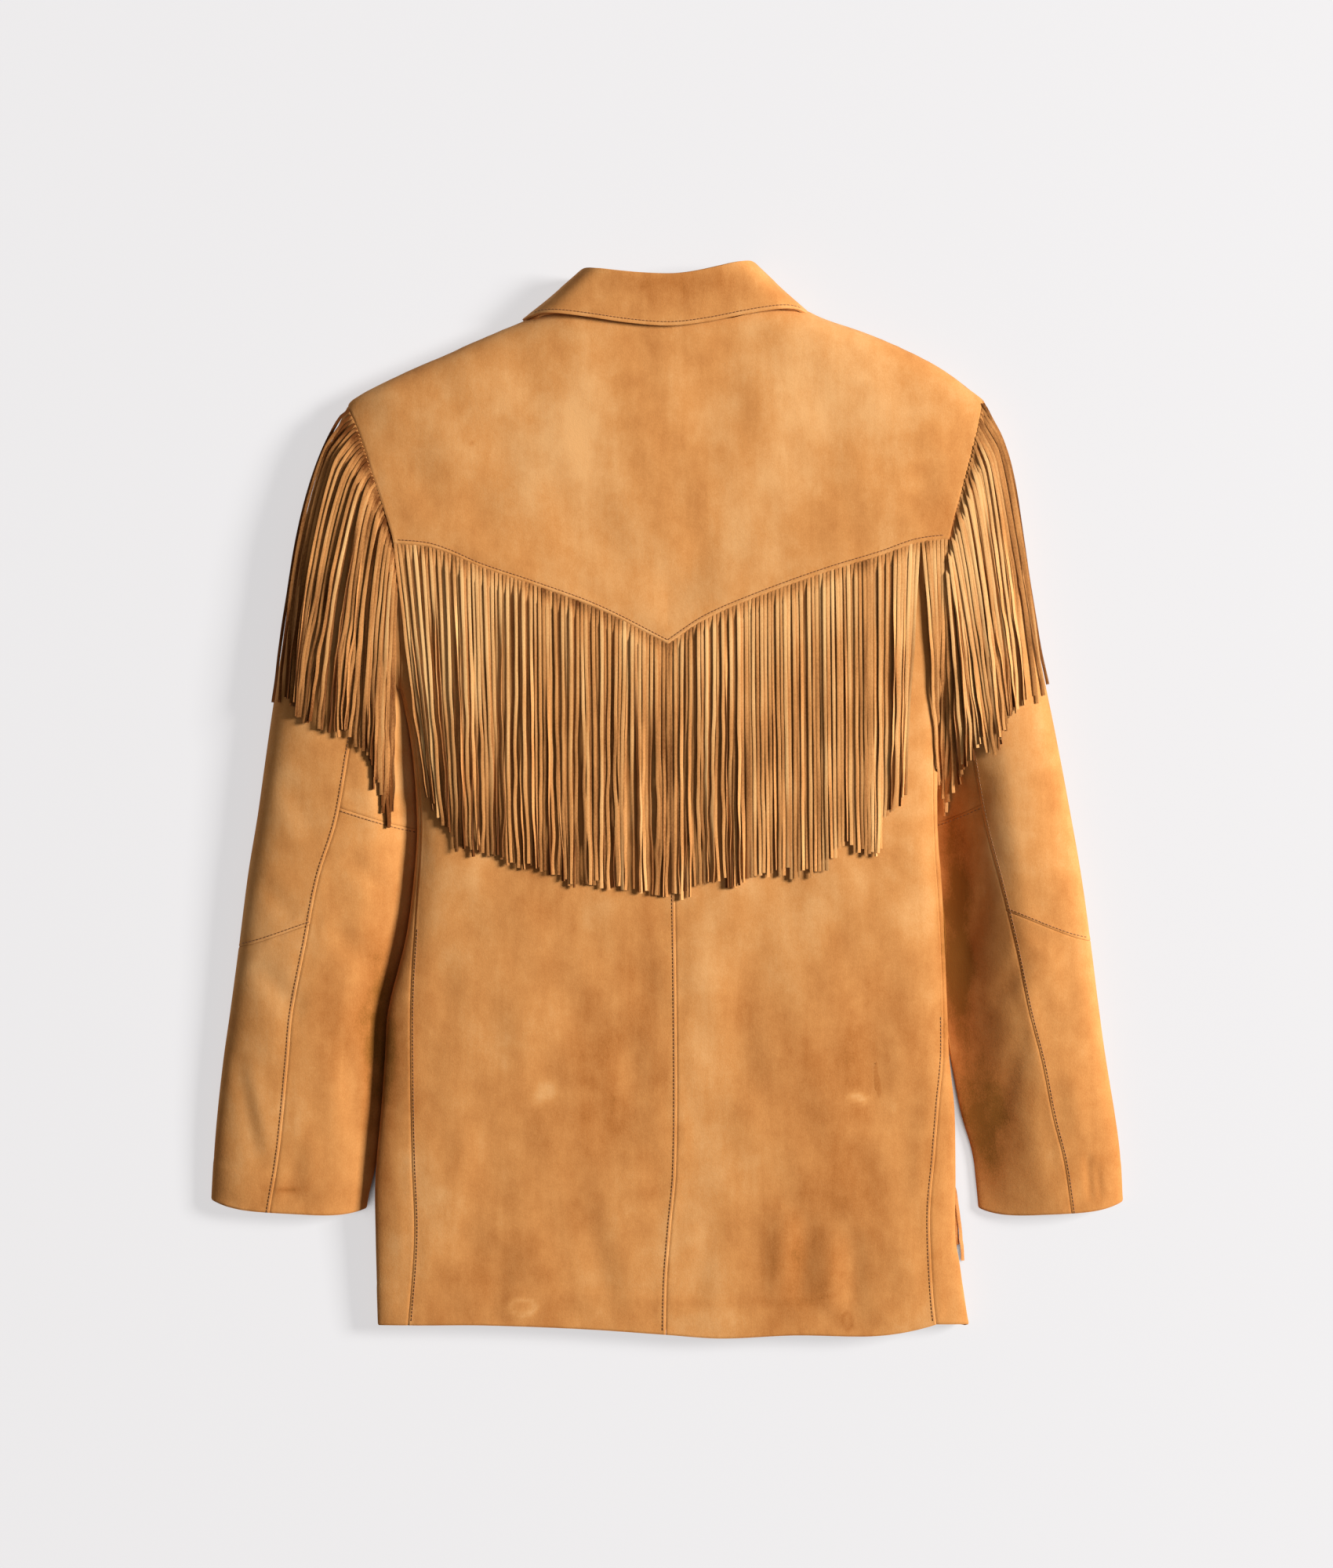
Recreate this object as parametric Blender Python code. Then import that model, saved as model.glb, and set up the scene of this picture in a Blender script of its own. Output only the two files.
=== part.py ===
"""Fringed buckskin jacket, laid out flat with its back upwards.

Lengths in the tables are millimetres. X runs across the jacket, +Y to the collar, +Z up from the
table. Every panel is a wall of suede over one of three flattened tubes: the body and two sleeves.
A tube's ring has an angle: 0 at its right edge, a quarter turn on top, a half turn at its left
edge, three quarters under it, flat on the table.
"""
import math
from collections import namedtuple

import bmesh
import bpy
from mathutils import Vector

MM = 0.001
WALL = 1.6              # thickness of the suede
HALF_GAP = 0.15         # half of the slit between two pieces at a seam
CROWN_POWER = 4.0       # how square the top of a ring is: 2 is an ellipse
EDGE_SHARE = 0.45       # height of a ring's outermost edge, as a share of its full height
UNDER_RADIUS = 12.0     # how far the underside rolls up at an edge
CLOSE = 0.01            # where a shoulder fold parts the yoke from the fronts
YOKE_LIFT = 2.5         # the yoke's folded edge lies this far over the back panels
YOKE_LIFT_FADE = 55.0   # and the yoke comes down to the back over this length
FRINGE_LIFT = 2.5       # top of the fringe over the panel that it lies on
SLEEVE_FRINGE_LIFT = 2.9
FRINGE_WALL = 1.3
FRINGE_GAP = 1.5        # from the yoke's edge down to the top of the fringe
LAPEL_LIFT = 2.3        # the fronts lie on the collar's leaf near the neck
OVERLAP_LIFT = 2.1      # the right front lies inside the left one at the opening
FRONT_LAP = 14.0        # half width of the front overlap
FRONT_HEM_RISE = 3.0    # the fronts end this far short of the back's hem
NECK_Y = 356.5
V_SHARE = 0.4956        # the yoke's point, as a share of the way from armhole to armhole
NECK_SCOOP_Y = 282.0
NECK_HALF = 80.0
NECK_POWER = 1.2
ARMHOLE_GAP = 0.3       # between the body's armhole and the sleeve sewn into it
FRONT_ARMHOLE_GAP = 1.4
UNDERARM_Y = 82.0
BACK_ROWS = (0.0, 0.06, 0.13, 0.2, 0.28, 0.36, 0.44, 0.52, 0.6, 0.67, 0.74, 0.79, 0.86, 0.93, 1.0)
SIDE_ROWS = BACK_ROWS[:12]
UNDER_SEAM_HEM = 50.0    # the seam under the body, in from the hem's corner
UNDER_SEAM_TOP = 22.0    # and in from the underarm

Edge = namedtuple("Edge", "y left right")
BODY_EDGES = [  # the body's two edges, then from the underarm up the sleeves' and shoulders' edges
    Edge(-400, -214.4, 227.0), Edge(-382, -214.8, 222.4), Edge(-342, -215.8, 216.6),
    Edge(-324, -216.2, 213.6), Edge(-282, -216.4, 213.6), Edge(-228, -211.9, 212.6),
    Edge(-190, -209.2, 208.8), Edge(-155, -206.6, 207.3), Edge(-101, -193.5, 205.2),
    Edge(-60, -187.9, 203.0), Edge(-21, -185.2, 200.1), Edge(27, -187.9, 200.0),
    Edge(53, -191.5, 200.0), Edge(67, -194.6, 200.2), Edge(82, -199.0, 203.0),
    Edge(110, -224.0, 222.0), Edge(140, -254.0, 248.0), Edge(175, -274.0, 265.6),
    Edge(209, -270.0, 260.4), Edge(244, -259.0, 254.0), Edge(271, -248.5, 248.6),
    Edge(292, -237.2, 240.0), Edge(297, -233.0, 234.3), Edge(305, -219.8, 223.3),
    Edge(313.8, -201.8, 212.3), Edge(322.5, -182.7, 198.9), Edge(331.2, -162.4, 182.7),
    Edge(339.9, -143.3, 163.6), Edge(348.6, -123.0, 141.5), Edge(357.3, -101.5, 114.0),
]
Level = namedtuple("Level", "y height")
BODY_HEIGHTS = [
    Level(-400, 19), Level(-340, 24), Level(-250, 30), Level(-100, 35), Level(30, 38),
    Level(150, 40), Level(250, 40), Level(300, 37.5), Level(340, 35), Level(360, 34),
]
Across = namedtuple("Across", "x y")
HEM = [
    Across(-225, -388.0), Across(-193, -389.2), Across(-136, -389.2), Across(-60, -392.1),
    Across(-2, -396.1), Across(40, -398.9), Across(95, -396.6), Across(148, -397.4),
    Across(173, -395.0), Across(199, -389.2), Across(230, -378.0),
]
YOKE_LEFT = [
    Across(-225, 190.0), Across(-202, 189.1), Across(-177, 186.8), Across(-159, 181.0),
    Across(-138, 171.7), Across(-100, 158.9), Across(-50, 140.4), Across(0.3, 115.1),
]
YOKE_RIGHT = [
    Across(0.3, 115.1), Across(28, 133.4), Across(71, 151.7), Across(117, 168.2),
    Across(157, 180.4), Across(186, 190.2), Across(225, 194.0),
]
Along = namedtuple("Along", "y x")
CENTRE_BACK = [
    Along(-400, -1.2), Along(-355, -0.2), Along(-312, 3.2), Along(-277, 6.4), Along(-206, 7.3),
    Along(-69, 5.8), Along(12, 4.1), Along(116, 0.3),
]
SIDE_SEAM_LEFT = [
    Along(-400, -193.1), Along(-324, -187.4), Along(-267, -189.1), Along(-205, -190.2),
    Along(-143, -190.0), Along(-88, -186.6), Along(-21, -182.4), Along(27, -185.2),
    Along(53, -188.9), Along(82, -196.5),
]
SIDE_SEAM_RIGHT = [
    Along(-400, 201.0), Along(-366, 197.2), Along(-307, 194.8), Along(-262, 198.4),
    Along(-225, 201.3), Along(-184, 204.7), Along(-100, 202.4), Along(-21, 197.6),
    Along(53, 197.4), Along(82, 201.0),
]
ARMHOLE_LEFT = [
    Along(82, -197.8), Along(116, -197.5), Along(151, -198.7), Along(188.5, -201.8),
    Along(210, -207.6), Along(233, -215.4), Along(274, -228.8), Along(292, -236.8),
]
ARMHOLE_RIGHT = [
    Along(82, 202.2), Along(116, 201.6), Along(151, 203.2), Along(191, 208.0),
    Along(213, 212.9), Along(242, 221.6), Along(270, 228.5), Along(297, 234.0),
]
FRINGE_ENDS = [
    Across(-205, 5.0), Across(-177, -19.7), Across(-158, -37.0), Across(-122, -45.8),
    Across(-76, -60.3), Across(-8, -69.0), Across(26, -62.0), Across(67, -56.0),
    Across(110, -52.0), Across(127, -36.0), Across(157, -35.0), Across(175, -5.0),
    Across(210, 12.0),
]
Section = namedtuple("Section", "outer_x outer_y inner_x inner_y height seam")
SLEEVE_LEFT = [  # from the armhole to the cuff; seam is the back seam's place from -1 to 1
    Section(-237.2, 292.0, -197.8, 81.8, 38, 0.34), Section(-258.7, 244.2, -197.2, 76.0, 38, 0.32),
    Section(-272.6, 192.0, -196.0, 67.3, 37, 0.28), Section(-284.2, 122.4, -193.1, 52.8, 36, 0.22),
    Section(-295.2, 49.9, -189.7, 26.7, 35, 0.11), Section(-303.3, -8.1, -186.8, -21.5, 34, -0.01),
    Section(-310.9, -54.5, -189.7, -60.3, 32, -0.14),
    Section(-317.8, -108.5, -195.5, -100.9, 30, -0.19),
    Section(-324.2, -156.0, -208.8, -155.4, 28, -0.20),
    Section(-329.2, -190.8, -211.1, -190.8, 26, -0.19),
    Section(-333.8, -231.4, -214.0, -228.5, 24, -0.19),
    Section(-336.7, -266.2, -217.8, -266.2, 21, -0.21),
    Section(-338.5, -296.4, -223.5, -302.8, 18, -0.24),
]
SLEEVE_RIGHT = [
    Section(234.3, 297.0, 202.4, 81.8, 38, -0.55), Section(252.9, 250.0, 201.9, 74.8, 38, -0.53),
    Section(262.7, 192.0, 201.8, 65.5, 37, -0.50), Section(273.2, 122.4, 201.8, 49.9, 36, -0.46),
    Section(287.7, 49.9, 201.8, 23.8, 35, -0.39), Section(298.1, -5.2, 202.1, -19.7, 34, -0.29),
    Section(306.8, -54.5, 205.6, -63.2, 32, -0.17),
    Section(313.8, -103.8, 208.5, -106.7, 30, -0.05),
    Section(319.6, -150.2, 209.1, -156.0, 28, 0.07),
    Section(324.8, -187.9, 211.1, -190.8, 26, 0.15),
    Section(331.8, -231.4, 218.1, -231.4, 24, 0.18),
    Section(336.1, -263.3, 226.8, -263.3, 21, 0.23),
    Section(338.1, -297.5, 231.4, -302.8, 18, 0.28),
]
SLEEVE_TOP_STEPS = 7
SLEEVE_UNDER_STEPS = 4
SEAM_SHARE = 0.003      # half of the slit at a sleeve's back seam, as a share of its half width
CUFF_BOW = 7.0          # the cuff's middle hangs this far below its two ends
CUFF_BOW_ROWS = 3.0
UPPER_ROWS = (0.0, 0.35, 0.7, 1.1, 1.6, 2.2, 3.0, 3.9)
LOWER_ROWS = (8.0, 9.5, 11.0, 12.0)
MIDDLE_ROW = 5.8
FRINGE_ROWS = (0.3, 0.7, 1.1, 1.6, 2.2, 3.0, 3.9, 4.3)
ARMHOLE_ROWS = 2.0      # sections over which the armhole's curve straightens
BLEND_ROWS = 3.5        # sections over which the sleeve leaves the body's height
UNDER_SEAM_ANGLE = 1.5 * math.pi
Elbow = namedtuple("Elbow", "at_seam at_edge")
ELBOWS = {"left": (Elbow(6.73, 7.0), Elbow(4.81, 5.0)),
          "right": (Elbow(6.5, 7.0), Elbow(4.76, 4.93))}
Leaf = namedtuple("Leaf", "roll_x roll_y edge_x edge_y z seam under")
COLLAR_SIDE = [  # from the middle of the back round to the front; seam is a share of edge to roll
    Leaf(0, 389.0, 0, 350.8, 38.6, 0.19, 0), Leaf(-20, 389.8, -30, 353.2, 38.5, 0.14, 0),
    Leaf(-38, 391.6, -58, 358.6, 37.8, 0.03, 0), Leaf(-52, 393.6, -82, 364.4, 35.0, 0.03, 0),
    Leaf(-60, 394.2, -95, 363.6, 29.5, 0.03, 0), Leaf(-64, 393.0, -103, 359.8, 23.0, 0.03, 0),
    Leaf(-66, 391.2, -107, 356.8, 15.0, 0.05, 1), Leaf(-65, 389.5, -107.5, 357.0, 7.0, 0.12, 1),
    Leaf(-62, 386.0, -105.5, 355.5, 1.2, 0.3, 1), Leaf(-56, 379.0, -98, 339.0, 0.0, 0.5, 1),
    Leaf(-44, 364.0, -84, 316.0, 0.0, 0.55, 1), Leaf(-24, 341.0, -66, 288.0, 0.0, 0.6, 1),
    Leaf(-3, 322.0, -47, 262.0, 0.0, 0.65, 1),
]
COLLAR_WALL = 1.4
STAND_DEPTH = 2.0       # the stand's outer face, inside the fall's
STAND_DROP = 0.8        # the stand ends this far below the roll
COLLAR_CORNER_RISE = 5.2     # the right corner of the roll stands higher than the left one
HIP_FRINGE = ((209.8, 220.4), (-342.0, -286.0), 1.1)   # its X and Y reach, and its thickness

Suede = namedtuple("Suede", "colour roughness")
SHELL = Suede((0.60, 0.30, 0.105, 1.0), 0.92)
TRIM = Suede((0.52, 0.25, 0.085, 1.0), 0.92)


def clear_scene():
    for item in list(bpy.data.objects):
        bpy.data.objects.remove(item, do_unlink=True)


def mix(first, second, share):
    return first + (second - first) * share


def ease(share):
    share = min(1.0, max(0.0, share))
    return share * share * (3.0 - 2.0 * share)


def read_table(table, key, column, value):
    """A smooth curve through one column of a table, read at a value of its key column."""
    keys = [getattr(row, key) for row in table]
    values = [getattr(row, column) for row in table]
    return read_curve(keys, values, value)


def read_curve(keys, values, value):
    last = len(keys) - 1
    value = min(keys[last], max(keys[0], value))
    spot = 0
    while spot < last - 1 and value > keys[spot + 1]:
        spot += 1
    width = keys[spot + 1] - keys[spot]
    share = (value - keys[spot]) / width

    def slope(index):
        before = max(0, index - 1)
        after = min(last, index + 1)
        return (values[after] - values[before]) / (keys[after] - keys[before])

    square = share * share
    cube = square * share
    return (values[spot] * (2 * cube - 3 * square + 1) + values[spot + 1] * (3 * square - 2 * cube)
            + width * slope(spot) * (cube - 2 * square + share)
            + width * slope(spot + 1) * (cube - square))


def ring_shape(angle, half_width, height):
    """Place across a ring, from -1 to 1, and height over the table, at an angle round it."""
    edge = EDGE_SHARE * height
    angle = angle % (2.0 * math.pi)
    if angle <= math.pi:
        cosine = math.cos(angle)
        across = math.copysign(abs(cosine) ** (2.0 / CROWN_POWER), cosine)
        return across, edge + (height - edge) * math.sin(angle)
    side = -1.0 if angle < 1.5 * math.pi else 1.0
    from_edge = (angle - math.pi) if side < 0 else (2.0 * math.pi - angle)
    roll = UNDER_RADIUS / half_width
    if from_edge < 0.25 * math.pi:
        turn = 2.0 * from_edge
        return side * (1.0 - roll * (1.0 - math.cos(turn))), edge * (1.0 - math.sin(turn))
    flat = (from_edge - 0.25 * math.pi) / (0.25 * math.pi)
    return side * (1.0 - roll) * (1.0 - flat), 0.0


def top_angle(across):
    across = min(1.0, max(-1.0, across))
    return math.acos(math.copysign(abs(across) ** (CROWN_POWER / 2.0), across))


def under_angle(across, half_width):
    roll = UNDER_RADIUS / half_width
    from_side = 1.0 - min(1.0, abs(across))
    if from_side < roll:
        part = 0.5 * math.acos(1.0 - from_side / roll)
    else:
        part = 0.25 * math.pi + 0.25 * math.pi * (1.0 - abs(across) / (1.0 - roll))
    return math.pi + part if across < 0 else 2.0 * math.pi - part


class Body:
    """The flattened tube of the back and fronts; its station is Y."""

    turn = 1.0

    def edges(self, y):
        return (read_table(BODY_EDGES, "y", "left", y), read_table(BODY_EDGES, "y", "right", y))

    def height(self, y):
        return read_table(BODY_HEIGHTS, "y", "height", y)

    def point(self, angle, y):
        left, right = self.edges(y)
        half = 0.5 * (right - left)
        across, z = ring_shape(angle, half, self.height(y))
        return Vector((0.5 * (left + right) + half * across, y, z))

    def across(self, x, y):
        left, right = self.edges(y)
        return (x - 0.5 * (left + right)) / (0.5 * (right - left))

    def top(self, x, y):
        return top_angle(self.across(x, y)), y

    def under(self, x, y):
        left, right = self.edges(y)
        return under_angle(self.across(x, y), 0.5 * (right - left)), y


class Sleeve:
    """A flattened sleeve; its station counts the sections from the armhole to the cuff."""

    turn = -1.0

    def __init__(self, side, body, table, armhole):
        self.side = side
        self.body = body
        self.armhole = armhole
        self.outer_sign = -1.0 if side == "left" else 1.0
        self.columns = {name: [getattr(row, name) for row in table] for name in Section._fields}
        self.stations = list(range(len(table)))
        self.last = float(self.stations[-1])

    def read(self, name, station):
        return read_curve(self.stations, self.columns[name], station)

    def plan(self, across, station):
        to_inner = 0.5 - 0.5 * self.outer_sign * across
        x = mix(self.read("outer_x", station), self.read("inner_x", station), to_inner)
        y = mix(self.read("outer_y", station), self.read("inner_y", station), to_inner)
        bow = CUFF_BOW * ease((station - self.last + CUFF_BOW_ROWS) / CUFF_BOW_ROWS)
        y -= bow * (1.0 - across * across)
        straight = ease(station / ARMHOLE_ROWS)
        if straight < 1.0:
            seam_y = mix(self.columns["outer_y"][0], self.columns["inner_y"][0], to_inner)
            seam_x = read_table(self.armhole, "y", "x", seam_y) + ARMHOLE_GAP * self.outer_sign
            x = mix(seam_x, x, straight)
            y = mix(seam_y, y, straight)
        return x, y

    def point(self, angle, station):
        station = min(self.last, max(0.0, station))
        half = 0.5 * math.hypot(
            self.read("outer_x", station) - self.read("inner_x", station),
            self.read("outer_y", station) - self.read("inner_y", station))
        across, z = ring_shape(angle, half, self.read("height", station))
        x, y = self.plan(across, station)
        own = ease(station / BLEND_ROWS)
        if own < 1.0:
            locate = self.body.top if angle % (2.0 * math.pi) <= math.pi else self.body.under
            z = mix(self.body.point(*locate(x, y)).z, z, own)
        return Vector((x, y, z))

    def seam(self, station):
        return self.read("seam", station)


def outward(surface, angle, station):
    """The unit vector that points out of a tube at an angle and a station."""
    step = 0.02
    round_ring = surface.point(angle + step, station) - surface.point(angle - step, station)
    along = surface.point(angle, station + step) - surface.point(angle, station - step)
    return (along.cross(round_ring) * surface.turn).normalized()


def suede_material(name, suede):
    material = bpy.data.materials.new(name)
    material.use_nodes = True
    shader = material.node_tree.nodes["Principled BSDF"]
    shader.inputs["Base Color"].default_value = suede.colour
    shader.inputs["Roughness"].default_value = suede.roughness
    shader.inputs["Metallic"].default_value = 0.0
    material.diffuse_color = suede.colour
    return material


def wall(name, grid, suede, thickness=WALL, lift=None):
    """One closed wall from a grid of places on a surface.

    The grid holds rows of (point, outward vector). The outer face is on the points, moved out by
    the lift, and the inner face is a thickness inside it.
    """
    rows = len(grid)
    cols = len(grid[0])
    mesh = bpy.data.meshes.new(name)
    work = bmesh.new()
    outer = []
    inner = []
    for row in grid:
        outer_row = []
        inner_row = []
        for point, out in row:
            raised = point + out * (lift(point) if lift else 0.0)
            outer_row.append(work.verts.new(raised * MM))
            inner_row.append(work.verts.new((raised - out * thickness) * MM))
        outer.append(outer_row)
        inner.append(inner_row)
    for i in range(rows - 1):
        for j in range(cols - 1):
            work.faces.new((outer[i][j], outer[i][j + 1], outer[i + 1][j + 1], outer[i + 1][j]))
            work.faces.new((inner[i][j], inner[i + 1][j], inner[i + 1][j + 1], inner[i][j + 1]))
    rim = [(0, j) for j in range(cols)] + [(i, cols - 1) for i in range(1, rows)]
    rim += [(rows - 1, j) for j in range(cols - 2, -1, -1)] + [(i, 0) for i in range(rows - 2, 0, -1)]
    for (i, j), (k, m) in zip(rim, rim[1:] + rim[:1]):
        work.faces.new((outer[i][j], inner[i][j], inner[k][m], outer[k][m]))
    bmesh.ops.recalc_face_normals(work, faces=work.faces)
    bmesh.ops.triangulate(work, faces=work.faces)
    work.to_mesh(mesh)
    work.free()
    mesh.shade_smooth()
    mesh.set_sharp_from_angle(angle=math.radians(40.0))
    mesh.materials.append(suede_material(name, suede))
    item = bpy.data.objects.new(name, mesh)
    bpy.context.scene.collection.objects.link(item)
    return item


def shares(count, crowd=1.0):
    """Shares from 0 to 1; a crowd over 1 brings them together at the far end."""
    return [1.0 - (1.0 - index / count) ** crowd for index in range(count + 1)]


def patch(surface, locate, left, right, bottom, top, across, up):
    """A grid between four curves in plan: left(y), right(y), bottom(x) and top(x)."""
    grid = []
    for high in up:
        row = []
        for side in across:
            y = mix(bottom(0.0), top(0.0), high)
            x = 0.0
            for _ in range(12):
                x = mix(left(y) + HALF_GAP, right(y) - HALF_GAP, side)
                y = mix(bottom(x), top(x), high)
            angle, station = locate(x, y)
            row.append((surface.point(angle, station), outward(surface, angle, station)))
        grid.append(row)
    return grid


def shoulder_y(body, x):
    """Y of the shoulder fold over a place across the body."""
    low = 292.0
    high = NECK_Y
    for _ in range(40):
        middle = 0.5 * (low + high)
        left, right = body.edges(middle)
        if left < x < right:
            low = middle
        else:
            high = middle
    return low


def yoke_y(x):
    side = YOKE_LEFT if x < YOKE_LEFT[-1].x else YOKE_RIGHT
    return read_table(side, "x", "y", x)


def hem_y(x):
    return read_table(HEM, "x", "y", x)


def column(table):
    return lambda y: read_table(table, "y", "x", y)


def back_side(seam, armhole):
    """The outer side of a back panel: its side seam, and over the underarm the armhole."""
    return lambda y: read_table(seam if y < armhole[0].y else armhole, "y", "x", y)


def make_back(body):
    def top(x):
        return yoke_y(x) - HALF_GAP

    wall("back_left", patch(body, body.top, back_side(SIDE_SEAM_LEFT, ARMHOLE_LEFT),
                            column(CENTRE_BACK), hem_y, top, shares(8), BACK_ROWS), SHELL)
    wall("back_right", patch(body, body.top, column(CENTRE_BACK),
                             back_side(SIDE_SEAM_RIGHT, ARMHOLE_RIGHT), hem_y, top, shares(8),
                             BACK_ROWS), SHELL)


def make_yoke(body):
    def top(x):
        return min(NECK_Y, shoulder_y(body, x) - CLOSE)

    def bottom(x):
        return yoke_y(x) + HALF_GAP

    def lift(point):
        return YOKE_LIFT * (1.0 - ease((point.y - yoke_y(point.x)) / YOKE_LIFT_FADE))

    across = [V_SHARE * share for share in shares(9)]
    across = across[:-1] + [1.0 - (1.0 - V_SHARE) * place / V_SHARE for place in across[::-1]]
    wall("back_yoke", patch(body, body.top, column(ARMHOLE_LEFT), column(ARMHOLE_RIGHT),
                            bottom, top, across, shares(9, 1.9)), SHELL, lift=lift)


def under_seam_x(body, side, y):
    """The straight seam under the body, between a side panel and a front."""
    sign = -1.0 if side == "left" else 1.0
    column_index = 0 if side == "left" else 1
    low = hem_y(0.0)
    hem_x = body.edges(low)[column_index] - sign * UNDER_SEAM_HEM
    top_x = body.edges(UNDERARM_Y)[column_index] - sign * UNDER_SEAM_TOP
    return mix(hem_x, top_x, (y - low) / (UNDERARM_Y - low))


def make_side(body, side, seam):
    """The side panel: from the back's side seam round the edge to the seam under the body."""
    sign = -1.0 if side == "left" else 1.0
    grid = []
    for share in SIDE_ROWS:
        row = []
        for place in shares(11):
            x = read_table(seam, "y", "x", -380.0)
            y = 0.0
            for _ in range(12):
                y = mix(hem_y(x), yoke_y(x) - HALF_GAP, share)
                x = read_table(seam, "y", "x", y)
            start = body.top(x + sign * 2.0 * HALF_GAP, y)[0]
            stop = body.under(under_seam_x(body, side, y) + sign * HALF_GAP, y)[0]
            if side == "right":
                stop -= 2.0 * math.pi
            angle = mix(start, stop, place)
            row.append((body.point(angle, y), outward(body, angle, y)))
        grid.append(row)
    wall("side_" + side, grid, SHELL)


def front_lift(point, own_overlap):
    """How far a front is raised: over the collar's leaf, and over the other front."""
    near_neck = ease((point.y - 235.0) / 22.0) * ease((150.0 - abs(point.x)) / 30.0)
    lapped = ease((FRONT_LAP + 46.0 - point.x) / 24.0) if own_overlap else 0.0
    return -(LAPEL_LIFT * near_neck + OVERLAP_LIFT * lapped)


def make_fronts(body):
    def side(name, armhole):
        inward = FRONT_ARMHOLE_GAP if name == "left" else -FRONT_ARMHOLE_GAP

        def place(y):
            over = read_table(armhole, "y", "x", y) + inward
            return mix(under_seam_x(body, name, min(y, UNDERARM_Y)), over, ease((y - 90.0) / 24.0))

        return place

    def bottom(x):
        return hem_y(x) + FRONT_HEM_RISE

    def top(x):
        neck = NECK_SCOOP_Y + (NECK_Y - NECK_SCOOP_Y) * (abs(x) / NECK_HALF) ** NECK_POWER
        return min(neck, shoulder_y(body, x) - CLOSE)

    up = [0.0, 0.2, 0.4, 0.55, 0.65, 0.74, 0.8, 0.86, 0.91, 0.95, 0.98, 0.993, 1.0]
    wall("front_left", patch(body, body.under, side("left", ARMHOLE_LEFT), lambda y: FRONT_LAP,
                             bottom, top, shares(7), up), SHELL,
         lift=lambda point: front_lift(point, False))
    wall("front_right", patch(body, body.under, lambda y: -FRONT_LAP,
                              side("right", ARMHOLE_RIGHT),
                              bottom, top, shares(8), up), SHELL,
         lift=lambda point: front_lift(point, True))


def make_sleeve(sleeve):
    """The outer sleeve goes round the outer edge and the under sleeve round the inner one."""
    outer_elbow, inner_elbow = ELBOWS[sleeve.side]
    left_side = sleeve.side == "left"
    gap = 0.006

    def cut(half, upper):
        elbow = outer_elbow if half == "outer" else inner_elbow
        goes_left = (half == "outer") == left_side
        edge = -1.0 if goes_left else 1.0
        under = UNDER_SEAM_ANGLE if goes_left else UNDER_SEAM_ANGLE - 2.0 * math.pi
        if upper:
            rows = list(UPPER_ROWS)
            if half == "outer":
                rows += [inner_elbow.at_seam, MIDDLE_ROW]
            rows.append(None)
        else:
            rows = [None]
            if half == "inner":
                rows += [MIDDLE_ROW, outer_elbow.at_seam]
            rows += LOWER_ROWS
        grid = []
        for station in rows:
            row = []
            for place in range(-SLEEVE_TOP_STEPS, SLEEVE_UNDER_STEPS + 1):
                turned = place / SLEEVE_UNDER_STEPS if place > 0 else place / SLEEVE_TOP_STEPS
                at = station
                if at is None:
                    cross = math.cos(0.5 * math.pi * turned)
                    at = mix(elbow.at_seam, elbow.at_edge, cross) + (-gap if upper else gap)
                if place <= 0:
                    seam = sleeve.seam(at) + edge * SEAM_SHARE
                    angle = top_angle(mix(seam, edge, math.cos(0.5 * math.pi * turned)))
                    if not goes_left and place == 0:
                        angle = 0.0
                else:
                    angle = mix(math.pi if goes_left else 0.0, under, turned * (1.0 - gap))
                row.append((sleeve.point(angle, at), outward(sleeve, angle, at)))
            grid.append(row)
        wall("sleeve_%s_%s_%s" % (sleeve.side, half, "upper" if upper else "lower"), grid, SHELL)

    for half in ("outer", "inner"):
        for upper in (True, False):
            cut(half, upper)


def collar_stations():
    """The whole collar, from its left front end round the back to its right front end."""
    left = COLLAR_SIDE[::-1]
    right = []
    for leaf in COLLAR_SIDE[1:]:
        rise = COLLAR_CORNER_RISE * (ease((leaf.roll_y - 350.0) / 40.0) if leaf.under
                                     else ease(-leaf.roll_x / 62.0))
        right.append(leaf._replace(roll_x=1.0 - leaf.roll_x, roll_y=leaf.roll_y + rise,
                                   edge_x=-leaf.edge_x, edge_y=leaf.edge_y + 0.6 * rise))
    return left + right


def with_outward(grid):
    """Pairs each point of a grid with the vector that points out of the collar there."""
    rows = len(grid) - 1
    cols = len(grid[0]) - 1
    pairs = []
    for i, row in enumerate(grid):
        line = []
        for j, point in enumerate(row):
            round_neck = row[min(j + 1, cols)] - row[max(j - 1, 0)]
            to_roll = grid[min(i + 1, rows)][j] - grid[max(i - 1, 0)][j]
            line.append((point, round_neck.cross(to_roll).normalized()))
        pairs.append(line)
    return pairs


def make_collar():
    """The fall, and the stand that it folds over, which is its own surface moved inwards."""
    stations = collar_stations()
    edge = [Vector((leaf.edge_x, leaf.edge_y, leaf.z)) for leaf in stations]
    roll = [Vector((leaf.roll_x, leaf.roll_y, leaf.z)) for leaf in stations]
    fall = with_outward([[a.lerp(b, share) for a, b in zip(edge, roll)] for share in shares(3)])
    wall("collar_fall", fall, SHELL, thickness=COLLAR_WALL)
    down = Vector((0.0, STAND_DROP, 0.0))
    seam = [a.lerp(b, leaf.seam) for a, b, leaf in zip(edge, roll, stations)]
    stand = with_outward([[a.lerp(b - down, share) for a, b in zip(seam, roll)]
                          for share in shares(2)])
    wall("collar_stand", stand, SHELL, thickness=COLLAR_WALL, lift=lambda point: -STAND_DEPTH)


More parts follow.
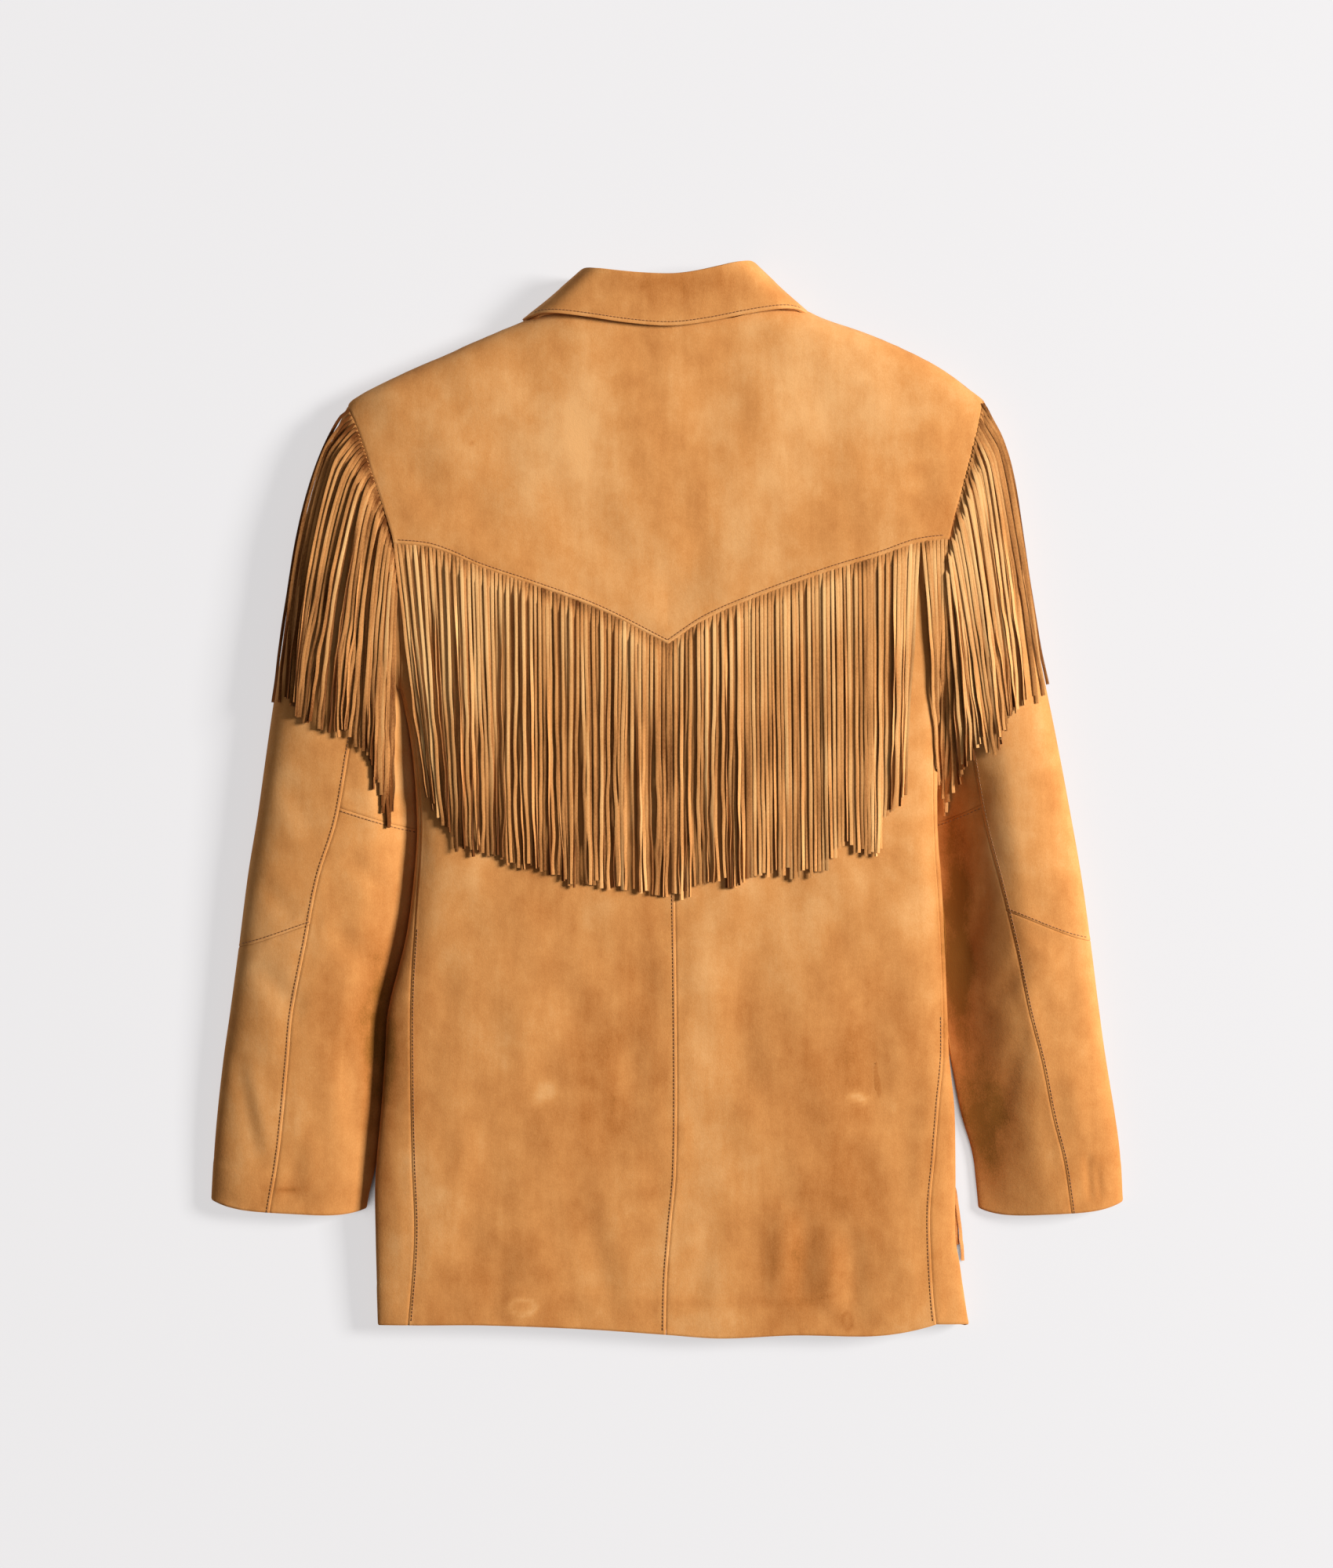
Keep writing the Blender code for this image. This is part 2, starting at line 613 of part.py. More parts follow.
def make_yoke_fringe(body):
    def top(x):
        return yoke_y(x) - FRINGE_GAP

    def bottom(x):
        return read_table(FRINGE_ENDS, "x", "y", x)

    def side(armhole, sign):
        return lambda y: read_table(armhole, "y", "x", max(y, UNDERARM_Y)) + sign * (
            2.0 + 24.0 * ease((189.0 - y) / 220.0))

    def lift(_point):
        return FRINGE_LIFT

    wall("fringe_yoke_left", patch(body, body.top, side(ARMHOLE_LEFT, 1.0), lambda y: 0.0,
                                   bottom, top, shares(8), shares(7)),
         TRIM, thickness=FRINGE_WALL, lift=lift)
    wall("fringe_yoke_right", patch(body, body.top, lambda y: 0.0, side(ARMHOLE_RIGHT, -1.0),
                                    bottom, top, shares(8), shares(7)),
         TRIM, thickness=FRINGE_WALL, lift=lift)


def make_sleeve_fringe(sleeve):
    """The fringe in the armhole seam fans down over the sleeve, along its upper side."""
    outer = 0.93 * sleeve.outer_sign
    inner = -0.62 * sleeve.outer_sign
    grid = []
    for station in FRINGE_ROWS:
        row = []
        for place in shares(8):
            across = mix(outer, inner, place)
            angle = top_angle(across)
            row.append((sleeve.point(angle, station), outward(sleeve, angle, station)))
        grid.append(row)
    wall("fringe_sleeve_" + sleeve.side, grid, TRIM, thickness=FRINGE_WALL,
         lift=lambda _point: SLEEVE_FRINGE_LIFT)


def make_hip_fringe():
    """The end of the front pocket's fringe, on the table past the body's right edge."""
    (left, right), (low, high), thick = HIP_FRINGE
    up = Vector((0.0, 0.0, 1.0))
    grid = [[(Vector((x, y, thick)), up) for x in (left, right)] for y in (low, high)]
    wall("fringe_hip", grid, TRIM, thickness=thick)


def main():
    clear_scene()
    body = Body()
    make_back(body)
    make_yoke(body)
    make_side(body, "left", SIDE_SEAM_LEFT)
    make_side(body, "right", SIDE_SEAM_RIGHT)
    make_fronts(body)
    for side, table, armhole in (("left", SLEEVE_LEFT, ARMHOLE_LEFT),
                                 ("right", SLEEVE_RIGHT, ARMHOLE_RIGHT)):
        sleeve = Sleeve(side, body, table, armhole)
        make_sleeve(sleeve)
        make_sleeve_fringe(sleeve)
    make_collar()
    make_yoke_fringe(body)
    make_hip_fringe()


if __name__ == "__main__":
    main()
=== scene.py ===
"""Dresses the fringed buckskin jacket: suede shells, seams, stitches, cut fringe and creases.

Lengths in the classes and tables are millimetres; meshes are made in metres in the frame of the
loaded model. X runs across the upturned back, +Y to the collar, +Z up from the surface below.
"""
import logging
import math
from dataclasses import dataclass, field
from enum import Enum
from typing import Callable, Optional, Sequence

import bpy
import numpy as np
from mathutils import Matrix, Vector
from mathutils.bvhtree import BVHTree


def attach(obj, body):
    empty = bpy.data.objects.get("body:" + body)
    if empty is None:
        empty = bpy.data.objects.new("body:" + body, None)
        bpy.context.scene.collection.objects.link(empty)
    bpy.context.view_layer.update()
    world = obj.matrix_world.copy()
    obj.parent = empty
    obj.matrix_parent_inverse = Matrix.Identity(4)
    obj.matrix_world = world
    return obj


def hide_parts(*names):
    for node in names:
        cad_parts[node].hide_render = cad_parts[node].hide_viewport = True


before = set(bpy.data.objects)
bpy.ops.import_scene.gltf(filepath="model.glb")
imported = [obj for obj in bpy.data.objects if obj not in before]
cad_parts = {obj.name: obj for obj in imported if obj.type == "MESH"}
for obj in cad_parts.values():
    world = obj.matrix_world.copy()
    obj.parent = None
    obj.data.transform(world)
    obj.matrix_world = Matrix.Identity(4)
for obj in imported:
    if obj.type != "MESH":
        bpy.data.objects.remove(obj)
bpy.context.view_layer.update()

LOG = logging.getLogger("jacket")

MM = 0.001
WALL = 1.5              # thickness of the suede
UNDER_RADIUS = 12.0     # how far the underside rolls up at an edge
HALF_GAP = 0.06         # half of the slit between two pieces at a seam
EDGE_SHARE = 0.45       # height of a tube's outermost edge, as a share of its full height
NECK_Y = 356.5
COLLAR_Y = 366.0
UNDERARM_Y = 82.0
SHOULDER_Y = 292.0      # below this the body's edge is the armhole's, not the shoulder's
SHOULDER_SLIT = 0.0005  # keeps the yoke and the fronts apart on the shoulder fold
YOKE_POINT_X = 0.3      # where the yoke's point and the centre back seam meet
V_SHARE = 0.4956        # the point's place, as a share of the way across the yoke
UNDER_YOKE = 8.0        # how far the back panels reach under the yoke
YOKE_LIFT = 2.5
YOKE_LIFT_FADE = 55.0
STITCH_PITCH = 2.7
YOKE_STITCH = 3.6       # from the yoke's edge to its row of stitches
SEAM_STITCH = 2.3       # from any other seam to its row
ALLOWANCE = 7.0         # added to every side of a panel's cut
COLLAR_ALLOWANCE = 10.0
COLLAR_AREA_SHARE = 0.75  # assumed: the collar's cut, as a share of its width times its length
ELBOW_BEND = 1.35       # how soon a sleeve's cross seam turns to the edge
SOLVE_STEPS = 14        # rounds that bring a place in plan to the curves round it
ABOVE_ALL = 120.0       # a height over the whole jacket
SEED = 1873

Array = np.ndarray
Place = Callable[[Array], Array]


class Table:
    """Named columns, read as smooth curves along the first of them."""

    def __init__(self, names: str, *rows: Sequence[float]) -> None:
        """Keeps the rows as columns.

        Args:
            names: the columns' names, the key first.
            rows: one row of numbers for each section, in rising order of the key.
        """
        self.names = names.split()
        self.columns = np.array(rows, dtype=float).T
        self.keys = self.columns[0]

    def read(self, name: str, value: Array) -> Array:
        """Reads a column.

        Args:
            name: the column.
            value: values of the key.

        Returns:
            The smooth curve through the column at each value.
        """
        column = self.columns[self.names.index(name)]
        keys = self.keys
        value = np.clip(np.asarray(value, dtype=float), keys[0], keys[-1])
        spot = np.clip(np.searchsorted(keys, value, side="right") - 1, 0, len(keys) - 2)
        before = np.maximum(np.arange(len(keys)) - 1, 0)
        after = np.minimum(np.arange(len(keys)) + 1, len(keys) - 1)
        slope = (column[after] - column[before]) / (keys[after] - keys[before])
        width = keys[spot + 1] - keys[spot]
        share = (value - keys[spot]) / width
        square = share * share
        cube = square * share
        return (column[spot] * (2 * cube - 3 * square + 1)
                + column[spot + 1] * (3 * square - 2 * cube)
                + width * slope[spot] * (cube - 2 * square + share)
                + width * slope[spot + 1] * (cube - square))


BODY_EDGES = Table(
    "y left right",
    (-400, -214.4, 227.0), (-382, -214.8, 222.4), (-342, -215.8, 216.6), (-324, -216.2, 213.6),
    (-282, -216.4, 213.6), (-228, -211.9, 212.6), (-190, -209.2, 208.8), (-155, -206.6, 207.3),
    (-101, -193.5, 205.2), (-60, -187.9, 203.0), (-21, -185.2, 200.1), (27, -187.9, 200.0),
    (53, -191.5, 200.0), (67, -194.6, 200.2), (82, -199.0, 203.0), (110, -224.0, 222.0),
    (140, -254.0, 248.0), (175, -274.0, 265.6), (209, -270.0, 260.4), (244, -259.0, 254.0),
    (271, -248.5, 248.6), (292, -237.2, 240.0), (297, -233.0, 234.3), (305, -219.8, 223.3),
    (313.8, -201.8, 212.3), (322.5, -182.7, 198.9), (331.2, -162.4, 182.7),
    (339.9, -143.3, 163.6), (348.6, -123.0, 141.5), (357.3, -102.5, 116.0),
    (368.0, -84.0, 94.0))
BODY_HEIGHTS = Table(
    "y height", (-400, 19), (-340, 24), (-250, 30), (-100, 35), (30, 38), (150, 40), (250, 40),
    (300, 37.5), (340, 35), (360, 34), (370, 30))
HEM = Table(
    "x y", (-225, -388.0), (-193, -389.2), (-136, -389.2), (-60, -392.1), (-2, -396.1),
    (40, -398.9), (95, -396.6), (148, -397.4), (173, -395.0), (196, -389.6), (212, -383.4),
    (230, -374.0))
YOKE_LEFT = Table(
    "x y", (-225, 190.0), (-202, 189.1), (-177, 186.8), (-159, 181.0), (-138, 171.7),
    (-100, 158.9), (-50, 140.4), (0.3, 115.1))
YOKE_RIGHT = Table(
    "x y", (0.3, 115.1), (28, 133.4), (71, 151.7), (117, 168.2), (157, 180.4), (186, 190.2),
    (225, 194.0))
CENTRE_BACK = Table(
    "y x", (-400, -1.2), (-355, -0.2), (-312, 3.2), (-277, 6.4), (-206, 7.3), (-69, 5.8),
    (12, 4.1), (116, 0.3))
SIDE_SEAM_LEFT = Table(
    "y x", (-400, -193.1), (-324, -187.4), (-267, -189.1), (-205, -190.2), (-143, -190.0),
    (-88, -186.6), (-21, -182.4), (27, -185.2), (53, -188.9), (82, -196.5))
SIDE_SEAM_RIGHT = Table(
    "y x", (-400, 201.0), (-366, 197.2), (-307, 194.8), (-262, 198.4), (-225, 201.3),
    (-184, 204.7), (-100, 202.4), (-21, 197.6), (53, 197.4), (82, 201.0))
ARMHOLE_LEFT = Table(
    "y x", (82, -197.8), (116, -197.5), (151, -198.7), (188.5, -201.8), (210, -207.6),
    (233, -215.4), (274, -228.8), (292, -236.8))
ARMHOLE_RIGHT = Table(
    "y x", (82, 202.2), (116, 201.6), (151, 203.2), (191, 208.0), (213, 212.9), (242, 221.6),
    (270, 228.5), (297, 234.0))
SLEEVE_LEFT = Table(
    "row outer_x outer_y inner_x inner_y height seam",
    (0, -237.2, 292.0, -197.8, 81.8, 38, 0.34), (1, -258.7, 244.2, -197.2, 76.0, 38, 0.32),
    (2, -272.6, 192.0, -196.0, 67.3, 37, 0.28), (3, -284.2, 122.4, -193.1, 52.8, 36, 0.22),
    (4, -295.2, 49.9, -189.7, 26.7, 35, 0.11), (5, -303.3, -8.1, -186.8, -21.5, 34, -0.01),
    (6, -310.9, -54.5, -189.7, -60.3, 32, -0.14), (7, -317.8, -108.5, -195.5, -100.9, 30, -0.19),
    (8, -324.2, -156.0, -208.8, -155.4, 28, -0.20), (9, -329.2, -190.8, -211.1, -190.8, 26, -0.19),
    (10, -333.8, -231.4, -214.0, -228.5, 24, -0.19),
    (11, -336.7, -266.2, -217.8, -266.2, 21, -0.21),
    (12, -338.5, -296.4, -223.5, -302.8, 18, -0.24))
SLEEVE_RIGHT = Table(
    "row outer_x outer_y inner_x inner_y height seam",
    (0, 234.3, 297.0, 202.4, 81.8, 38, -0.55), (1, 252.9, 250.0, 201.9, 74.8, 38, -0.53),
    (2, 262.7, 192.0, 201.8, 65.5, 37, -0.50), (3, 273.2, 122.4, 201.8, 49.9, 36, -0.46),
    (4, 287.7, 49.9, 201.8, 23.8, 35, -0.39), (5, 298.1, -5.2, 202.1, -19.7, 34, -0.29),
    (6, 306.8, -54.5, 205.6, -63.2, 32, -0.17), (7, 313.8, -103.8, 208.5, -106.7, 30, -0.05),
    (8, 319.6, -150.2, 209.1, -156.0, 28, 0.07), (9, 324.8, -187.9, 211.1, -190.8, 26, 0.15),
    (10, 331.8, -231.4, 218.1, -231.4, 24, 0.18), (11, 336.1, -263.3, 226.8, -263.3, 21, 0.23),
    (12, 338.1, -297.5, 231.4, -302.8, 18, 0.28))
COLLAR_LEFT = Table(  # from the middle of the back to the front end, below the fronts
    "spot roll_x roll_y edge_x edge_y z seam",
    (-1, 20, 389.8, 30, 353.2, 38.5, 0.14), (0, 0, 389.0, 0, 350.8, 38.6, 0.19),
    (1, -20, 389.8, -30, 353.2, 38.5, 0.14),
    (2, -38, 391.6, -58, 357.4, 37.8, 0.03), (3, -52, 393.6, -82, 360.4, 35.6, 0.03),
    (4, -60, 394.2, -95, 360.4, 30.0, 0.03), (5, -64, 393.0, -103, 358.0, 23.0, 0.03),
    (6, -66, 391.2, -107, 356.8, 15.0, 0.05), (7, -65, 389.5, -107.5, 357.0, 7.0, 0.12),
    (8, -62, 386.0, -105.5, 355.5, 1.2, 0.3), (9, -56, 379.0, -98, 339.0, 0.0, 0.5),
    (10, -44, 364.0, -84, 316.0, 0.0, 0.55), (11, -24, 341.0, -66, 288.0, 0.0, 0.6),
    (12, -3, 322.0, -47, 262.0, 0.0, 0.65))
YOKE_TIPS = Table(  # where the strands under the yoke end
    "x y", (-205, 5.0), (-177, -19.7), (-160, -37.0), (-134, -40.0), (-122, -45.8),
    (-93, -51.6), (-76, -60.3), (-35, -63.2), (-8, -70.0), (13, -68.0), (26, -63.0),
    (38, -59.0), (46, -64.0), (67, -54.0), (92, -56.0), (109, -53.0), (119, -44.7),
    (127, -34.0), (140, -38.0), (159, -34.0), (162, -14.0), (175, -6.0), (190, 10.0),
    (200, 10.0), (208, -8.0))
YOKE_DRIFT = Table(  # how far each strand's tip hangs beside its root
    "x drift", (-203, 24.0), (-186, 17.0), (-160, 8.0), (-110, 3.0), (0, 0.0), (90, 2.0),
    (140, 2.0), (170, -4.0), (181, -8.0), (186, -9.5), (188, 13.0), (196, 7.0), (207, -1.0))
LEFT_TIPS = Table(  # the left sleeve's strands, from the shoulder to the back
    "share x y", (0, -292.9, 72.0), (0.04, -281.6, 76.0), (0.1, -275.5, 70.2),
    (0.2, -270.3, 61.5), (0.27, -259.8, 59.2), (0.34, -250.0, 50.5), (0.4, -242.0, 51.6),
    (0.47, -236.6, 54.0), (0.54, -231.0, 40.6), (0.6, -223.9, 37.7), (0.67, -221.0, 28.4),
    (0.74, -215.8, 11.0), (0.8, -212.9, 14.5), (0.87, -208.8, -8.7), (0.94, -205.3, -19.7),
    (1, -202.4, -4.0))
RIGHT_TIPS = Table(
    "share x y", (0, 282.5, 87.0), (0.04, 277.8, 77.1), (0.09, 269.1, 74.2),
    (0.15, 256.9, 69.0), (0.25, 253.5, 63.8), (0.38, 249.0, 51.6), (0.5, 244.5, 40.6),
    (0.62, 240.1, 36.0), (0.7, 232.6, 42.3), (0.78, 224.5, 29.6), (0.86, 219.0, 26.1),
    (0.93, 214.0, 12.8), (1, 207.1, -8.7))


@dataclass(frozen=True)
class Crease:
    """A soft trough or ridge along a short line, in the suede's own sizes."""

    start: tuple[float, float]
    end: tuple[float, float]
    depth: float
    width: float

    def height(self, x: Array, y: Array) -> Array:
        """Gives the crease's height, which fades at both ends.

        Args:
            x: places across.
            y: places along.

        Returns:
            The height at each place, below zero in a trough.
        """
        along = np.array(self.end) - np.array(self.start)
        length = float(np.hypot(*along))
        along = along / length
        reach = (x - self.start[0]) * along[0] + (y - self.start[1]) * along[1]
        beside = (x - self.start[0]) * along[1] - (y - self.start[1]) * along[0]
        share = np.clip(reach / length, 0.0, 1.0)
        past = reach - share * length
        distance = beside * beside + past * past
        fade = np.sqrt(np.clip(np.sin(np.pi * share), 0.0, 1.0))
        return self.depth * fade * np.exp(-distance / (self.width * self.width))


CREASES = (
    # left sleeve
    Crease((-319, -186), (-301, -274), -1.2, 7.5), Crease((-311, -196), (-296, -262), 0.7, 7.0),
    Crease((-306, -120), (-270, -160), -1.2, 9.0), Crease((-250, -90), (-215, -128), -1.4, 9.0),
    Crease((-238, -40), (-205, -70), -1.2, 8.0), Crease((-300, -60), (-276, -88), -1.0, 8.0),
    Crease((-285, 20), (-262, -30), -1.0, 9.0), Crease((-240, -170), (-232, -250), -0.9, 8.0),
    Crease((-262, -250), (-268, -296), 0.7, 7.0), Crease((-215, 40), (-208, -14), -1.3, 6.0),
    # right sleeve
    Crease((311, -262), (314, -298), -1.2, 3.5), Crease((318, -268), (321, -296), -0.8, 3.0),
    Crease((272, -110), (240, -150), -1.3, 8.0), Crease((262, -170), (246, -240), -1.2, 8.0),
    Crease((236, -60), (222, -120), -1.6, 7.0), Crease((292, -90), (300, -160), -1.0, 9.0),
    Crease((236, 20), (226, -20), -1.2, 7.0), Crease((300, -200), (306, -250), 0.8, 8.0),
    Crease((280, -210), (288, -290), -0.7, 9.0),
    # back, below the fringe
    Crease((-160, -90), (-172, -210), -0.9, 14.0), Crease((-100, -110), (-116, -250), 0.9, 16.0),
    Crease((-60, -300), (-40, -384), -0.9, 12.0), Crease((-120, -330), (-128, -388), -0.8, 10.0),
    Crease((-20, -120), (-30, -260), -0.8, 12.0), Crease((60, -100), (52, -220), -1.0, 15.0),
    Crease((88, -300), (80, -372), 1.2, 9.0), Crease((104, -306), (98, -376), -1.2, 8.0),
    Crease((122, -312), (120, -380), 1.0, 8.0), Crease((138, -318), (138, -384), -1.0, 8.0),
    Crease((160, -120), (150, -250), -1.0, 15.0), Crease((30, -310), (22, -380), -0.9, 10.0),
    Crease((180, -200), (176, -300), -0.8, 10.0), Crease((-150, -240), (-158, -320), 0.8, 11.0),
    # yoke
    Crease((-150, 300), (-120, 220), -0.7, 18.0), Crease((140, 310), (110, 225), -0.8, 18.0),
    Crease((-40, 330), (-30, 250), 0.6, 20.0), Crease((30, 200), (8, 140), -0.7, 12.0),
    Crease((-196, 260), (-170, 205), -0.8, 12.0), Crease((200, 258), (176, 208), -0.8, 12.0),
)


def ease(share: Array) -> Array:
    """Eases a share from 0 to 1.

    Args:
        share: the share, which may pass both ends.

    Returns:
        The eased share.
    """
    share = np.clip(share, 0.0, 1.0)
    return share * share * (3.0 - 2.0 * share)


def mix(first: Array, second: Array, share: Array) -> Array:
    """Goes a share of the way from the first value to the second.

    Args:
        first: the value at 0.
        second: the value at 1.
        share: the share of the way.

    Returns:
        The value between them.
    """
    return first + (second - first) * share


def ripple(x: Array, y: Array, wavelength: float, seed: int) -> Array:
    """Makes a soft uneven surface out of a few crossed waves.

    Args:
        x: places across.
        y: places along.
        wavelength: the middle length of the waves.
        seed: picks the waves.

    Returns:
        A height from about -1 to 1 at each place.
    """
    draw = np.random.default_rng(seed)
    total = np.zeros_like(np.asarray(x, dtype=float))
    waves = 7
    for _ in range(waves):
        turn = draw.uniform(0.0, 2.0 * math.pi)
        pace = 2.0 * math.pi / (wavelength * draw.uniform(0.65, 1.6))
        total += np.sin(pace * (math.cos(turn) * x + 0.55 * math.sin(turn) * y)
                        + draw.uniform(0.0, 2.0 * math.pi))
    return total / math.sqrt(waves * 2.0)


def ring_shape(angle: Array, half_width: Array, height: Array, crown: Array,
               edge_share: Array) -> tuple[Array, Array]:
    """Follows a flattened ring.

    Args:
        angle: 0 at the right edge, a quarter turn on top, three quarters under it.
        half_width: half of the ring's width.
        height: the ring's full height.
        crown: how square its top is.
        edge_share: the height of its edges, as a share of the full height.

    Returns:
        The place across from -1 to 1, and the height over the table.
    """
    angle = np.mod(angle, 2.0 * math.pi)
    edge = edge_share * height
    cosine = np.cos(angle)
    top = np.sign(cosine) * np.abs(cosine) ** (2.0 / crown)
    top_z = edge + (height - edge) * np.sin(angle)
    side = np.where(angle < 1.5 * math.pi, -1.0, 1.0)
    from_edge = np.where(side < 0.0, angle - math.pi, 2.0 * math.pi - angle)
    roll = UNDER_RADIUS / half_width
    turn = 2.0 * np.clip(from_edge, 0.0, 0.25 * math.pi)
    flat = np.clip((from_edge - 0.25 * math.pi) / (0.25 * math.pi), 0.0, 1.0)
    arc = side * (1.0 - roll * (1.0 - np.cos(turn)))
    under = np.where(from_edge < 0.25 * math.pi, arc, side * (1.0 - roll) * (1.0 - flat))
    under_z = np.where(from_edge < 0.25 * math.pi, edge * (1.0 - np.sin(turn)), 0.0)
    is_top = angle <= math.pi
    return np.where(is_top, top, under), np.where(is_top, top_z, under_z)


def top_angle(across: Array, crown: Array) -> Array:
    """The angle of a place across the top of a ring."""
    across = np.clip(across, -1.0, 1.0)
    return np.arccos(np.sign(across) * np.abs(across) ** (crown / 2.0))


def under_angle(across: Array, half_width: Array) -> Array:
    """The angle of a place across the underside of a ring.

    Args:
        across: the place, from -1 to 1.
        half_width: half of the ring's width.

    Returns:
        The angle, past half a turn.
    """
    roll = UNDER_RADIUS / half_width
    wide = np.clip(np.abs(across), 0.0, 1.0)
    arc = 0.5 * np.arccos(np.clip(1.0 - (1.0 - wide) / roll, -1.0, 1.0))
    flat = 0.25 * math.pi + 0.25 * math.pi * (1.0 - wide / (1.0 - roll))
    part = np.where(1.0 - wide < roll, arc, flat)
    return np.where(across < 0.0, math.pi + part, 2.0 * math.pi - part)


class Tube:
    """A flattened tube of cloth; subclasses give its rings."""

    turn = 1.0

    def point(self, angle: Array, station: Array) -> Array:
        """The place on the tube at an angle and a station."""
        raise NotImplementedError

    def outward(self, angle: Array, station: Array) -> Array:
        """Finds which way the tube faces.

        Args:
            angle: angles round the ring.
            station: stations along the tube.

        Returns:
            Unit vectors that point out of the tube.
        """
        step = 0.02
        round_ring = self.point(angle + step, station) - self.point(angle - step, station)
        along = self.point(angle, station + step) - self.point(angle, station - step)
        out = np.cross(along, round_ring) * self.turn
        return out / np.maximum(np.linalg.norm(out, axis=-1, keepdims=True), 1e-9)


class Body(Tube):
    """The flattened tube of the back, sides and fronts; its station is Y."""

    def crown(self, y: Array) -> Array:
        """How square the top is: it lies flatter below the arms."""
        return 4.0 + 5.0 * (1.0 - ease((y - 50.0) / 90.0))

    def edges(self, y: Array) -> tuple[Array, Array]:
        """The left and right edges at a height along the body."""
        return BODY_EDGES.read("left", y), BODY_EDGES.read("right", y)

    def point(self, angle: Array, station: Array) -> Array:
        """The place on the body at an angle and a height along it.

        Args:
            angle: the angle round the ring.
            station: Y of the ring.

        Returns:
            The place, in the last axis.
        """
        left, right = self.edges(station)
        half = 0.5 * (right - left)
        edge_share = EDGE_SHARE + 0.25 * (1.0 - ease((station - 50.0) / 90.0))
        across, z = ring_shape(angle, half, BODY_HEIGHTS.read("height", station),
                               self.crown(station), edge_share)
        x = 0.5 * (left + right) + half * across
        return np.stack(np.broadcast_arrays(x, station, z), axis=-1)

    def across(self, x: Array, y: Array) -> Array:
        """The place across the body, from -1 to 1, of a place in plan."""
        left, right = self.edges(y)
        return (x - 0.5 * (left + right)) / (0.5 * (right - left))

    def top(self, x: Array, y: Array) -> tuple[Array, Array]:
        """The angle and station on the upper side of a place in plan."""
        return top_angle(self.across(x, y), self.crown(y)), y

    def under(self, x: Array, y: Array) -> tuple[Array, Array]:
        """The angle and station on the under side of a place in plan."""
        left, right = self.edges(y)
        return under_angle(self.across(x, y), 0.5 * (right - left)), y


class SleeveTube(Tube):
    """A flattened sleeve; its station counts the sections from the armhole to the cuff."""

    turn = -1.0
    crown = 3.0
    last = 12.0
    armhole_rows = 2.0
    blend_rows = 3.5
    cuff_bow = 7.0
    cuff_bow_rows = 3.0
    armhole_gap = 0.12
    tuck = 3.0

    def __init__(self, side: str, body: Body, table: Table, armhole: Table) -> None:
        """Keeps what the sleeve is read from.

        Args:
            side: left or right, as laid.
            body: the body that it joins.
            table: its sections.
            armhole: the body's armhole seam.
        """
        self.side = side
        self.body = body
        self.table = table
        self.armhole = armhole
        self.outer_sign = -1.0 if side == "left" else 1.0
        self.slump = 0.3 if side == "left" else 0.9
        self.crest = 0.68 if side == "left" else 0.4

    def plan(self, across: Array, station: Array) -> tuple[Array, Array]:
        """Places a point of the sleeve in plan.

        Args:
            across: from -1 at the left edge to 1 at the right edge.
            station: the section.

        Returns:
            Its X and Y.
        """
        read = self.table.read
        inner = 0.5 - 0.5 * self.outer_sign * across
        tuck_end = 10.5 if self.side == "left" else 8.0
        tuck = self.tuck * ease((station - 0.8) / 1.2) * (1.0 - ease((station - tuck_end) / 1.5))
        inner_x = read("inner_x", station) - self.outer_sign * tuck
        x = mix(read("outer_x", station), inner_x, inner)
        y = mix(read("outer_y", station), read("inner_y", station), inner)
        bow = ease((station - self.last + self.cuff_bow_rows) / self.cuff_bow_rows)
        y = y - self.cuff_bow * bow * (1.0 - across ** 4)
        straight = ease(station / self.armhole_rows)
        seam_y = mix(read("outer_y", 0.0), read("inner_y", 0.0), inner)
        seam_x = self.armhole.read("x", seam_y) + self.armhole_gap * self.outer_sign
        return mix(seam_x, x, straight), mix(seam_y, y, straight)

    def point(self, angle: Array, station: Array) -> Array:
        """The place on the sleeve at an angle and a section.

        Args:
            angle: the angle round the ring.
            station: the section, whole or between two.

        Returns:
            The place, in the last axis.
        """
        station = np.clip(station, 0.0, self.last)
        read = self.table.read
        half = 0.5 * np.hypot(read("outer_x", station) - read("inner_x", station),
                              read("outer_y", station) - read("inner_y", station))
        across, z = ring_shape(angle, half, read("height", station), self.crown, EDGE_SHARE)
        inner = 0.5 - 0.5 * self.outer_sign * across
        slump = self.slump * ease((station - 2.5) / 2.5) * (1.0 - 0.35 * ease((station - 8.0) / 4.0))
        z = z * (1.0 - slump * ease((inner - self.crest) / (1.05 - self.crest)))
        x, y = self.plan(across, station)
        own = ease(station / self.blend_rows)
        is_top = np.mod(angle, 2.0 * math.pi) <= math.pi
        on_top = self.body.point(*self.body.top(x, y))[..., 2]
        below = self.body.point(*self.body.under(x, y))[..., 2]
        z = mix(np.where(is_top, on_top, below), z, own)
        return np.stack(np.broadcast_arrays(x, y, z), axis=-1)


def yoke_y(x: Array) -> Array:
    """Y of the yoke's lower edge over a place across the back."""
    return np.where(x < YOKE_POINT_X, YOKE_LEFT.read("y", x), YOKE_RIGHT.read("y", x))


def hem_y(x: Array) -> Array:
    """Y of the hem over a place across the body."""
    return HEM.read("y", x)


def shoulder_y(body: Body, x: Array) -> Array:
    """Finds the shoulder fold.

    Args:
        body: the body whose edge it is.
        x: places across.

    Returns:
        Y of the fold over each place.
    """
    low = np.full(np.shape(x), SHOULDER_Y)
    high = np.full(np.shape(x), COLLAR_Y)
    for _ in range(30):
        middle = 0.5 * (low + high)
        left, right = body.edges(middle)
        inside = (left < x) & (x < right)
        low = np.where(inside, middle, low)
        high = np.where(inside, high, middle)
    return low


